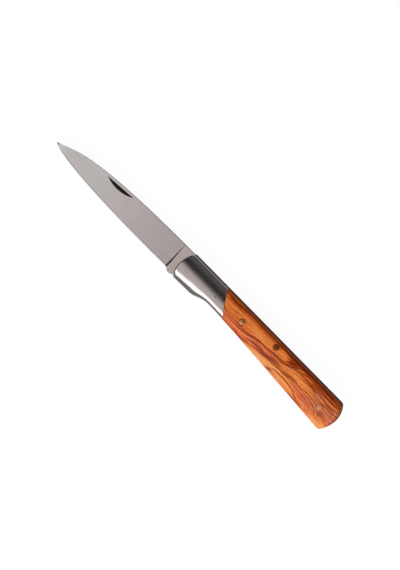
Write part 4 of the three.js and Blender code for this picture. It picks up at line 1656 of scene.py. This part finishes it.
        faces, kinds = [], []
        last = (len(columns) - 1) * deep
        for c in range(len(columns) - 1):
            for r in range(deep - 1):
                a = c * deep + r
                faces.append([a, a + deep, a + deep + 1, a + 1])
                plunge = c >= self.stations and r < deep - 2
                kinds.append(Ground.PLUNGE if plunge else Ground.GRIND if r else Ground.EDGE)
        count = len(tang)
        flat = [last + r for r in range(deep - 2, -1, -1)] + [first_inner + i for i in range(count)]
        faces.append(flat)
        edge_pairs = [(last, first_outer)]
        edge_pairs += [(first_inner + i, first_outer + 1 + i) for i in range(count)]
        edge_pairs.append((last + deep - 2, last + deep - 1))
        for (a, low_a), (b, low_b) in zip(edge_pairs[:-1], edge_pairs[1:]):
            faces.append([a, low_a, low_b, b])
        kinds += [Ground.FLAT] * (len(faces) - len(kinds))
        mirror = [[i + other for i in reversed(face)] for face in faces]
        faces, kinds = faces + mirror, kinds + kinds

        rim = [c * deep for c in range(len(columns) - 1)]
        rim += [first_outer + i for i in range(count + 1)]
        rim += [c * deep + deep - 1 for c in range(len(columns) - 1, -1, -1)]
        rim += range(deep - 2, 0, -1)
        for a, b in zip(rim, rim[1:] + rim[:1]):
            heel = [last] if b == first_outer else []
            faces.append([a + other, *(i + other for i in heel), b + other, b, *heel, a])
        kinds += [Ground.GRIND] * len(rim)
        piece = build("ground_blade", self.bench, np.array(points), faces)
        for finish in BLADE_STEELS:
            piece.data.materials.append(finish.dress(self.bench))
        for polygon, kind in zip(piece.data.polygons, kinds):
            polygon.material_index = int(kind)
        cut_away(piece, [self.nick_wheel(), self.hole_cutter()])
        smooth(piece, self.crease_deg)
        hand_over(piece, "blade", "blade_steel", "blade")
        return piece

    def nick_wheel(self) -> bpy.types.Object:
        """Builds the bevelled wheel that cuts the nail nick.

        Returns:
            The wheel, where it stands at the end of its cut.
        """
        radius = (self.nick_length**2 / 4 + self.nick_depth**2) / (2 * self.nick_depth)
        height = 2 * self.nick_width
        small = radius - height * self.nick_depth / self.nick_width
        points, faces = turned([(small, -height), (radius, 0)], self.wheel_sides)
        x, y = self.nick_place
        low, high = np.interp(x, *self.edge.T), np.interp(x, *self.spine.T)
        row = (y - low) / (high - low)
        face = self.bevel_thickness / 2 + (self.spine_half(x) - self.bevel_thickness / 2) * row
        stood = Matrix.Rotation(math.radians(-90), 3, "X")
        swung = Matrix.Rotation(math.radians(self.nick_slope_deg), 3, "Z")
        middle = np.array([x, y, face + radius - self.nick_depth])
        placed = points @ np.array(swung @ stood).T + middle
        return dressed("nick_wheel", self.bench, (placed, faces), MILLED)

    def hole_cutter(self) -> bpy.types.Object:
        """Builds the drill for the pivot's hole."""
        profile = [(self.pivot_hole, -self.drill_reach), (self.pivot_hole, self.drill_reach)]
        return dressed("pivot_drill", self.bench, turned(profile, DRILL_SIDES), GROUND)


@dataclass
class BackSpring:
    """The spring that holds the blade, from its nib on the tang to its tail in the butt.

    Args:
        steps: Steps of the swell, the hook and the back.
    """

    bench: Bench
    shape: HandleShape
    front: float = -2.0
    nib_height: float = 5.5
    nib_end: float = 1.0
    straight_start: float = 2.2
    straight_height: float = 6.3
    swell_start: float = 47.7
    swell: Point = (59.7, 4.65)
    shoulder: Point = (91.4, 3.3)
    tail: Point = (94.2, 1.4)
    chamfer: float = 0.12
    crease_deg: float = 30
    steps: tuple[int, int, int] = (24, 10, 80)

    def outline(self) -> np.ndarray:
        """Draws the spring.

        Returns:
            Its outline, anticlockwise from the nib.
        """
        belly = self.shape.belly()
        half = (self.swell[0] - self.swell_start) / 2
        rise = [
            (self.swell_start, self.straight_height),
            (self.swell_start + half, self.straight_height),
            (self.swell[0] - half, self.swell[1]),
            self.swell,
        ]
        hook = [self.shoulder, (self.tail[0], self.shoulder[1]), self.tail]
        under = belly[belly[:, 0] > self.tail[0]]
        foot = np.array([(self.tail[0], np.interp(self.tail[0], *belly.T))])
        nib = np.array([
            (self.front, self.nib_height),
            (self.nib_end, self.nib_height),
            (self.straight_start, self.straight_height),
        ])
        butt = self.shape.butt()
        swell_steps, hook_steps, back_steps = self.steps
        back = np.linspace(butt[-1], (self.front, self.shape.back_y(self.front)), back_steps)
        return chain(nib, bezier(rise, swell_steps), bezier(hook, hook_steps), foot, under, butt, back)

    def make(self) -> bpy.types.Object:
        """Builds and dresses the spring.

        Returns:
            The piece.
        """
        half = self.shape.slot / 2
        solid = plate(self.outline(), -half, half, self.chamfer)
        piece = dressed("ground_back_spring", self.bench, solid, GROUND)
        smooth(piece, self.crease_deg)
        hand_over(piece, "handle", "spring_steel", "back_spring")
        return piece


@dataclass
class Pin:
    """A pin or rivet of the handle, its ends filed to the crown.

    Args:
        node: The node that it stands for.
        place: Where it stands in plan.
        radius: Its radius.
        low: Height that a rivet starts at, or None for a pin right through.
        finish: Its finish.
        slot: The record's slot for it.
        sunk: How far the rim of its end is filed below the crown.
        ring: The gap round it in the piece that it passes through.
        inner: How far in from its edge the rings within the rounded ones lie.
    """

    node: str
    place: Point
    radius: float
    low: float | None
    finish: Finish
    slot: str
    sunk: float = 0.0
    ring: float = 0.05
    edge_round: float = 0.12
    edge_steps: int = 6
    inner: tuple[float, float, float] = (0.4, 0.8, 1.2)
    tip: float = 0.02
    sides: int = 72
    drill_reach: float = 9.0
    crease_deg: float = 35

    def head(self, shape: HandleShape) -> list[np.ndarray]:
        """Gives the rings of one end.

        Args:
            shape: The crown that the end is filed to.

        Returns:
            The rings from the rim to the middle.
        """
        circle = arc((0, 0), 1, 0, 2 * math.pi, self.sides)[:-1]
        turn = np.linspace(0, math.pi / 2, self.edge_steps)
        rings = []
        for depth in [*(self.edge_round * (1 - np.cos(turn))), *self.inner]:
            radius = max(self.radius - depth, self.tip)
            flat = circle * radius + np.array(self.place)
            off = rounding(np.full(len(flat), depth), self.edge_round)
            off += self.sunk * (radius / self.radius) ** 2
            rings.append(np.column_stack([flat, shape.height(flat) - off]))
        return rings

    def make(self, bench: Bench, shape: HandleShape, side: Side) -> bpy.types.Object:
        """Builds and dresses the pin.

        Args:
            bench: Where the drawing stands.
            shape: The crown that it is filed to.
            side: The side that a rivet stands on.

        Returns:
            The piece.
        """
        top = self.head(shape)
        if self.low is None:
            rings = [flipped(ring, Side.PILE) for ring in reversed(top)] + top
        else:
            foot = top[0].copy()
            foot[:, 2] = self.low
            rings = [foot, *top]
        points, faces = between_rings(rings)
        piece = dressed(f"filed_{self.node}", bench, (flipped(points, side), faces), self.finish)
        smooth(piece, self.crease_deg)
        hand_over(piece, "handle", self.slot, self.node)
        return piece

    def drill(self, bench: Bench) -> bpy.types.Object:
        """Builds the cutter of its hole.

        Args:
            bench: Where the drawing stands.

        Returns:
            The cutter, without a finish.
        """
        hole = self.radius + self.ring
        points, faces = turned([(hole, -self.drill_reach), (hole, self.drill_reach)], DRILL_SIDES)
        return build(f"{self.node}_drill", bench, points + np.array([*self.place, 0]), faces)


@dataclass
class Handle:
    """Liners, bolsters, scales and pins.

    Args:
        flush: Gap and edge radius of the steel pins that are filed flush.
        back_steps: Steps along the backs of a liner, a bolster and a scale.
    """

    bench: Bench
    shape: HandleShape
    gap: float = 0.06
    chamfer: float = 0.1
    pin_radius: float = 1.55
    pivot_radius: float = 1.5
    rivet_radius: float = 1.0
    rivet_sunk: float = 0.07
    flush: Point = (0.004, 0.006)
    mitre_steps: int = 40
    back_steps: tuple[int, int, int] = (60, 80, 160)
    bolster_grid: tuple[int, int] = (84, 72)
    scale_grid: tuple[int, int] = (230, 72)
    steel_crease_deg: float = 30
    wood_crease_deg: float = 35
    spring_pin: Point = SPRING_PIN
    rear_pin: Point = REAR_PIN
    scale_rivet: Point = SCALE_RIVET
    bolster_rivet: Point = (19.6, 2.0)

    def flush_pin(self, node: str, place: Point, radius: float, low: float | None) -> Pin:
        """Gives a steel pin that is filed and polished flush, so that it hardly shows."""
        return Pin(node, place, radius, low, BOLSTER, "bolster_steel", 0.0, *self.flush)

    def through_pins(self) -> list[Pin]:
        """Lists the pins that go right through.

        Returns:
            The pivot pin, the spring pin and the rear pin.
        """
        return [
            self.flush_pin("pivot_pin", (0, 0), self.pivot_radius, None),
            Pin("spring_pin", self.spring_pin, self.pin_radius, None, SHADED_BRASS, "brass_pin"),
            Pin("rear_pin", self.rear_pin, self.pin_radius, None, BRASS, "brass_pin"),
        ]

    def rivets(self, side: Side) -> list[Pin]:
        """Lists the short rivets of one side.

        Args:
            side: The side.

        Returns:
            The scale's rivet and the bolster's.
        """
        low = self.shape.slot / 2
        brass = (BRASS, "brass_pin", self.rivet_sunk)
        return [
            Pin(f"{side.word}_scale_rivet", self.scale_rivet, self.pin_radius, low, *brass),
            self.flush_pin(f"{side.word}_bolster_rivet", self.bolster_rivet, self.rivet_radius, low),
        ]

    def split(self, curve: np.ndarray, x: float) -> tuple[np.ndarray, np.ndarray]:
        """Splits a curve that runs to the rear.

        Args:
            curve: Its points.
            x: The place to split it at.

        Returns:
            The parts ahead of it and behind it.
        """
        here = np.array([(x, np.interp(x, *curve.T))])
        ahead, behind = curve[curve[:, 0] < x - 1e-6], curve[curve[:, 0] > x + 1e-6]
        return np.concatenate([ahead, here]), np.concatenate([here, behind])

    def mitre(self, gap: float) -> np.ndarray:
        """Draws the joint of bolster and scale.

        Args:
            gap: How far behind the joint it is drawn.

        Returns:
            The points along it, from belly to back.
        """
        low_x = self.shape.mitre_x(-self.shape.waist_depth - 0.1) + gap
        belly_y = np.interp(low_x, *self.shape.belly().T)
        high_x = self.shape.mitre_x(self.shape.back_y(self.shape.mitre_back)) + gap
        low = (self.shape.mitre_x(belly_y) + gap, belly_y)
        return np.linspace(low, (high_x, self.shape.back_y(high_x)), self.mitre_steps)

    def liner(self, side: Side) -> bpy.types.Object:
        """Builds and dresses one liner.

        Args:
            side: The side that it stands on.

        Returns:
            The piece.
        """
        shape = self.shape
        front, butt = shape.front(), shape.butt()
        _, belly = self.split(shape.belly(), front[0, 0])
        back = np.linspace(butt[-1], front[-1], self.back_steps[0])
        outline = chain(belly, butt, back, front[::-1])[:-1]
        points, faces = plate(outline, shape.slot / 2, shape.liner_outside, self.chamfer)
        solid = (flipped(points, side), faces)
        piece = dressed(f"ground_{side.word}_liner", self.bench, solid, GROUND)
        smooth(piece, self.steel_crease_deg)
        hand_over(piece, "handle", "liner_steel", f"{side.word}_liner")
        return piece

    def rounds(self, flat: np.ndarray, *edges: tuple[np.ndarray, float]) -> np.ndarray:
        """Gives how much the rounded edges take off a top.

        Args:
            flat: Places in plan, one row each.
            edges: The curve and the radius of each edge.

        Returns:
            The height taken off at each place.
        """
        return np.max([rounding(distance_to(curve, flat), radius) for curve, radius in edges], axis=0)

    def cover(self, side: Side, grid: np.ndarray, off: np.ndarray) -> Solid:
        """Makes the solid of a bolster or scale.

        Args:
            side: The side that it stands on.
            grid: The grid of its top.
            off: How much its edges take off the crown at each point of the grid.

        Returns:
            Its points and faces.
        """
        crown = self.shape.height(grid.reshape(-1, 2)) - off
        points, faces = slab(grid, crown, self.shape.liner_outside)
        return flipped(points, side), faces

    def bolster(self, side: Side) -> bpy.types.Object:
        """Builds and dresses one bolster, with its round front, crown and drilled holes.

        Args:
            side: The side that it stands on.

        Returns:
            The piece.
        """
        shape = self.shape
        front, mitre = shape.front(), self.mitre(0)
        _, behind = self.split(shape.belly(), front[0, 0])
        belly, _ = self.split(behind, mitre[0, 0])
        back = np.linspace(front[-1], mitre[-1], self.back_steps[1])
        grid = patch((belly, back, front, mitre), *self.bolster_grid)
        flat = grid.reshape(-1, 2)
        low_edge = chain(front[:1], belly)
        off = self.rounds(flat, (low_edge, shape.edge_round), (back, shape.back_round))
        above = flat[:, 1] - np.interp(flat[:, 0], *shape.belly().T)
        inward = distance_to(front, flat) * np.interp(above, *shape.bevel_spread)
        bevel = bending(inward, *shape.front_bevel, shape.bevel_power)
        off = off + bevel * np.clip(above / shape.bevel_foot, 0, 1)
        off = np.maximum(off, self.rounds(flat, (mitre, shape.mitre_round)))
        solid = self.cover(side, grid, off)
        piece = dressed(f"polished_{side.word}_bolster", self.bench, solid, POLISHED[side])
        self.bore(piece, [self.through_pins()[0], self.rivets(side)[1]], self.steel_crease_deg)
        hand_over(piece, "handle", "bolster_steel", f"{side.word}_bolster")
        return piece

    def scale(self, side: Side) -> bpy.types.Object:
        """Builds and dresses one scale, with its crown, round butt and drilled holes.

        Args:
            side: The side that it stands on.

        Returns:
            The piece.
        """
        shape = self.shape
        mitre, butt = self.mitre(self.gap), shape.butt()
        _, belly = self.split(shape.belly(), mitre[0, 0])
        back = np.linspace(mitre[-1], butt[-1], self.back_steps[2])
        grid = patch((belly, back, mitre, butt), *self.scale_grid)
        off = self.rounds(
            grid.reshape(-1, 2),
            (chain(belly, butt), shape.edge_round),
            (back, shape.back_round),
            (mitre, shape.mitre_round),
        )
        solid = self.cover(side, grid, off)
        piece = dressed(f"oiled_{side.word}_scale", self.bench, solid, WOOD[side])
        self.bore(piece, [*self.through_pins()[1:], self.rivets(side)[0]], self.wood_crease_deg)
        hand_over(piece, "handle", "olive_wood", f"{side.word}_scale")
        return piece

    def bore(self, piece: bpy.types.Object, pins: list[Pin], crease_deg: float) -> None:
        """Drills a piece for its pins and shades it.

        Args:
            piece: The piece.
            pins: The pins that pass through it.
            crease_deg: The angle from which its edges stay sharp.
        """
        drills = [pin.drill(self.bench) for pin in pins]
        for drill in drills:
            drill.data.materials.append(piece.data.materials[0])
        cut_away(piece, drills)
        smooth(piece, crease_deg)

    def make(self) -> list[bpy.types.Object]:
        """Builds every piece of the handle but the spring.

        Returns:
            The pieces.
        """
        made = [pin.make(self.bench, self.shape, Side.MARK) for pin in self.through_pins()]
        for side in Side:
            made += [self.liner(side), self.bolster(side), self.scale(side)]
            made += [pin.make(self.bench, self.shape, side) for pin in self.rivets(side)]
        return made


@dataclass(frozen=True)
class Studio:
    """Floor, lights and camera.

    The camera looks down on the knife, leaning a little to its back and to its butt. Each part of
    the tent comes in between two values of X, Y or Z of the direction in which it hangs.

    Args:
        horizon: Values of Z for the light strip low on the belly's side.
        belly_side: Values of Y for that strip. Its middle is in X, to either side.
        wing: Values of X for the dark wing to the left. Its edge toward the back is in Y.
        left_end: Values of X for the light end to the left, as for the right.
        front_glow: Values of X between which the cloth changes, and how bright it is there.
        bands: Colours of the cloth by the angle from straight up toward the knife's belly.
    """

    bench: Bench
    lean_back_deg: float = 8.0
    lean_butt_deg: float = 3.2
    roll_deg: float = 45.318
    lens_mm: float = 500.0
    sensor_mm: float = 36.0
    view_height: float = 289.0
    view_middle: tuple[float, float, float] = (9.7, 0.65, 0.0)
    lamp_lean_deg: float = 39.5
    lamp_far_m: float = 0.9
    lamp_size_m: tuple[float, float] = (1.1, 0.29)
    lamp_light: float = 1.6
    fill_lean_deg: float = 15.0
    fill_turn_deg: float = 52.0
    fill_far_m: float = 0.9
    fill_size_m: tuple[float, float] = (0.7, 0.6)
    fill_light: float = 2.9
    floor_half_m: float = 6.0
    floor_colour: Colour = (0.93, 0.93, 0.93)
    floor_glow: float = 0.92
    floor_light: float = 1.03
    floor_drop_m: float = 2e-5
    horizon: tuple[float, float] = (0.21, 0.17)
    belly_side: tuple[float, float] = (0.3, -0.1)
    middle: tuple[float, float] = (0.50, 0.35)
    wing: tuple[float, float] = (-0.42, -0.56)
    wing_edge: tuple[float, float] = (0.66, 0.52)
    left_end: tuple[float, float] = (-0.82, -0.92)
    right_end: tuple[float, float] = (0.42, 0.62)
    front_glow: tuple[float, float, float, float] = (-0.26, -0.04, 1.3, 1.0)
    wing_light: Colour = (0.040, 0.036, 0.037)
    end_light: Colour = (0.42, 0.41, 0.405)
    horizon_light: Colour = (0.95, 0.95, 0.95)
    bands: tuple[tuple[float, Colour], ...] = (
        (-90, (0.50, 0.49, 0.49)),
        (-58, (0.42, 0.41, 0.41)),
        (-46, (0.045, 0.044, 0.045)),
        (-30, (0.062, 0.060, 0.062)),
        (-15, (0.125, 0.12, 0.125)),
        (-10, (0.012, 0.011, 0.012)),
        (-3.8, (0.012, 0.011, 0.012)),
        (1.6, (0.64, 0.60, 0.585)),
        (14, (0.64, 0.605, 0.595)),
        (20.5, (0.95, 0.92, 0.91)),
        (30.5, (1.5, 1.47, 1.46)),
        (44.5, (0.92, 0.90, 0.90)),
        (54, (0.24, 0.235, 0.24)),
        (90, (0.15, 0.147, 0.15)),
    )

    def camera(self) -> bpy.types.Object:
        """Sets up the camera.

        Returns:
            The camera, as the scene's own.
        """
        lean_x, lean_y = (math.sin(math.radians(a)) for a in (self.lean_butt_deg, self.lean_back_deg))
        toward = Vector((lean_x, lean_y, math.sqrt(1 - lean_x**2 - lean_y**2)))
        level = (Vector((1, 0, 0)) - toward * lean_x).normalized()
        across = toward.cross(level)
        roll = math.radians(self.roll_deg)
        right = level * math.cos(roll) + across * math.sin(roll)
        up = toward.cross(right)
        data = bpy.data.cameras.new("camera")
        data.lens, data.sensor_width = self.lens_mm, self.sensor_mm
        far = self.view_height * self.lens_mm / self.sensor_mm * MM
        camera = bpy.data.objects.new("camera", data)
        turn = Matrix((right, up, toward)).transposed().to_4x4()
        middle = self.bench.point(*self.view_middle)
        camera.matrix_world = Matrix.Translation(middle + toward * far) @ turn
        bpy.context.scene.collection.objects.link(camera)
        bpy.context.scene.camera = camera
        return camera

    def lamp(
        self, name: str, toward: Vector, far: float, size: tuple[float, float], light: float
    ) -> bpy.types.Object:
        """Hangs a softbox that faces the knife.

        Args:
            name: Its name.
            toward: The unit vector from the knife to it.
            far: Its distance in metres.
            size: Its length and width in metres.
            light: How bright it looks, where 1 is white.

        Returns:
            The lamp.
        """
        data = bpy.data.lights.new(name, "AREA")
        data.shape = "RECTANGLE"
        data.size, data.size_y = size
        data.energy = light * math.pi * size[0] * size[1]
        level = (Vector((1, 0, 0)) - toward * toward.x).normalized()
        turn = Matrix((level, toward.cross(level), toward)).transposed().to_4x4()
        lamp = bpy.data.objects.new(name, data)
        lamp.matrix_world = Matrix.Translation(self.bench.point(0, 0, 0) + toward * far) @ turn
        bpy.context.scene.collection.objects.link(lamp)
        return lamp

    def lamps(self) -> list[bpy.types.Object]:
        """Hangs the long softbox over the belly side and the fill beyond the butt.

        Returns:
            The lamps.
        """
        lean = math.radians(self.lamp_lean_deg)
        belly = Vector((0, -math.sin(lean), math.cos(lean)))
        lean, turn = math.radians(self.fill_lean_deg), math.radians(self.fill_turn_deg)
        side, up = -math.sin(lean) * math.cos(turn), math.cos(lean) * math.cos(turn)
        beyond = Vector((math.sin(turn), side, up))
        return [
            self.lamp("softbox", belly, self.lamp_far_m, self.lamp_size_m, self.lamp_light),
            self.lamp("fill", beyond, self.fill_far_m, self.fill_size_m, self.fill_light),
        ]

    def tent(self) -> bpy.types.World:
        """Surrounds the knife with a tent of grey cloth, with a dark wing and lighter ends.

        Returns:
            The world that stands for the tent.
        """
        world = bpy.data.worlds.new("tent")
        world.use_nodes = True
        nodes = Nodes(world.node_tree)
        way = nodes.parts(nodes.add("TexCoord").outputs["Generated"])
        toward_belly = nodes.times(way[1], -1.0)
        lean = nodes.math("ARCTAN2", toward_belly, way[2])
        place = nodes.straight(lean, -math.pi / 2, math.pi / 2, 0.0, 1.0)
        cloth = nodes.add("ValToRGB", {"Fac": place})
        stops = cloth.color_ramp.elements
        while len(stops) < len(self.bands):
            stops.new(1.0)
        for stop, (lean_deg, colour) in zip(stops, self.bands):
            stop.position = (lean_deg + 90) / 180
            stop.color = (*colour, 1.0)
        aside = nodes.math("ABSOLUTE", way[0])
        brighter = nodes.ramp(way[0], *self.front_glow)
        light = nodes.mix(1.0, cloth.outputs[0], nodes.grey(brighter), "MULTIPLY")
        wing = nodes.times(nodes.ramp(way[0], *self.wing), nodes.ramp(way[1], *self.wing_edge))
        light = nodes.mix(wing, light, self.wing_light)
        left, right = nodes.ramp(way[0], *self.left_end), nodes.ramp(way[0], *self.right_end)
        light = nodes.mix(nodes.math("MAXIMUM", left, right), light, self.end_light)
        low = nodes.times(nodes.ramp(way[2], *self.horizon), nodes.ramp(way[1], *self.belly_side))
        low = nodes.times(low, nodes.ramp(aside, *self.middle))
        light = nodes.mix(low, light, self.horizon_light)
        shine = nodes.add("Background", {"Color": light, "Strength": 1.0})
        nodes.add("OutputWorld", {"Surface": shine.outputs[0]})
        bpy.context.scene.world = world
        return world

    def floor(self) -> bpy.types.Object:
        """Lays the white floor that the knife lies on.

        Returns:
            The floor.
        """
        half, low = self.floor_half_m, -self.floor_drop_m
        corners = [(-half, -half, low), (half, -half, low), (half, half, low), (-half, half, low)]
        mesh = bpy.data.meshes.new("floor")
        mesh.from_pydata(corners, [], [[0, 1, 2, 3]])
        floor = bpy.data.objects.new("floor", mesh)
        bpy.context.scene.collection.objects.link(floor)
        material = bpy.data.materials.new("white_floor")
        material.use_nodes = True
        nodes = Nodes(material.node_tree)
        paper = nodes.add("BsdfDiffuse", {"Color": (*self.floor_colour, 1.0)})
        glow = nodes.add("Emission", {"Color": (1.0, 1.0, 1.0, 1.0), "Strength": self.floor_light})
        path = nodes.add("LightPath").outputs
        seen = nodes.math("MAXIMUM", path["Is Camera Ray"], path["Is Glossy Ray"])
        seen = nodes.math("MAXIMUM", seen, path["Is Transmission Ray"])
        share = nodes.times(seen, self.floor_glow)
        both = nodes.add("MixShader", {0: share, 1: paper.outputs[0], 2: glow.outputs[0]})
        nodes.add("OutputMaterial", {"Surface": both.outputs[0]})
        mesh.materials.append(material)
        return floor

    def make(self) -> None:
        """Sets up the whole studio."""
        self.camera()
        self.lamps()
        self.tent()
        self.floor()
        bpy.context.scene.view_settings.view_transform = "Standard"


def corners(box: tuple[Vector, Vector]) -> list[list[float]]:
    """Writes a box as plain lists."""
    return [list(corner) for corner in box]


def main() -> None:
    """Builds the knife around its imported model."""
    logging.basicConfig(level=logging.INFO, format="%(message)s")
    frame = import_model()
    bench = Bench(Vector(frame["joints"][0]["pos_m"]))
    shape = HandleShape()
    Studio(bench).make()
    Blade(bench, shape).make()
    BackSpring(bench, shape).make()
    Handle(bench, shape).make()


if __name__ == "__main__":
    main()
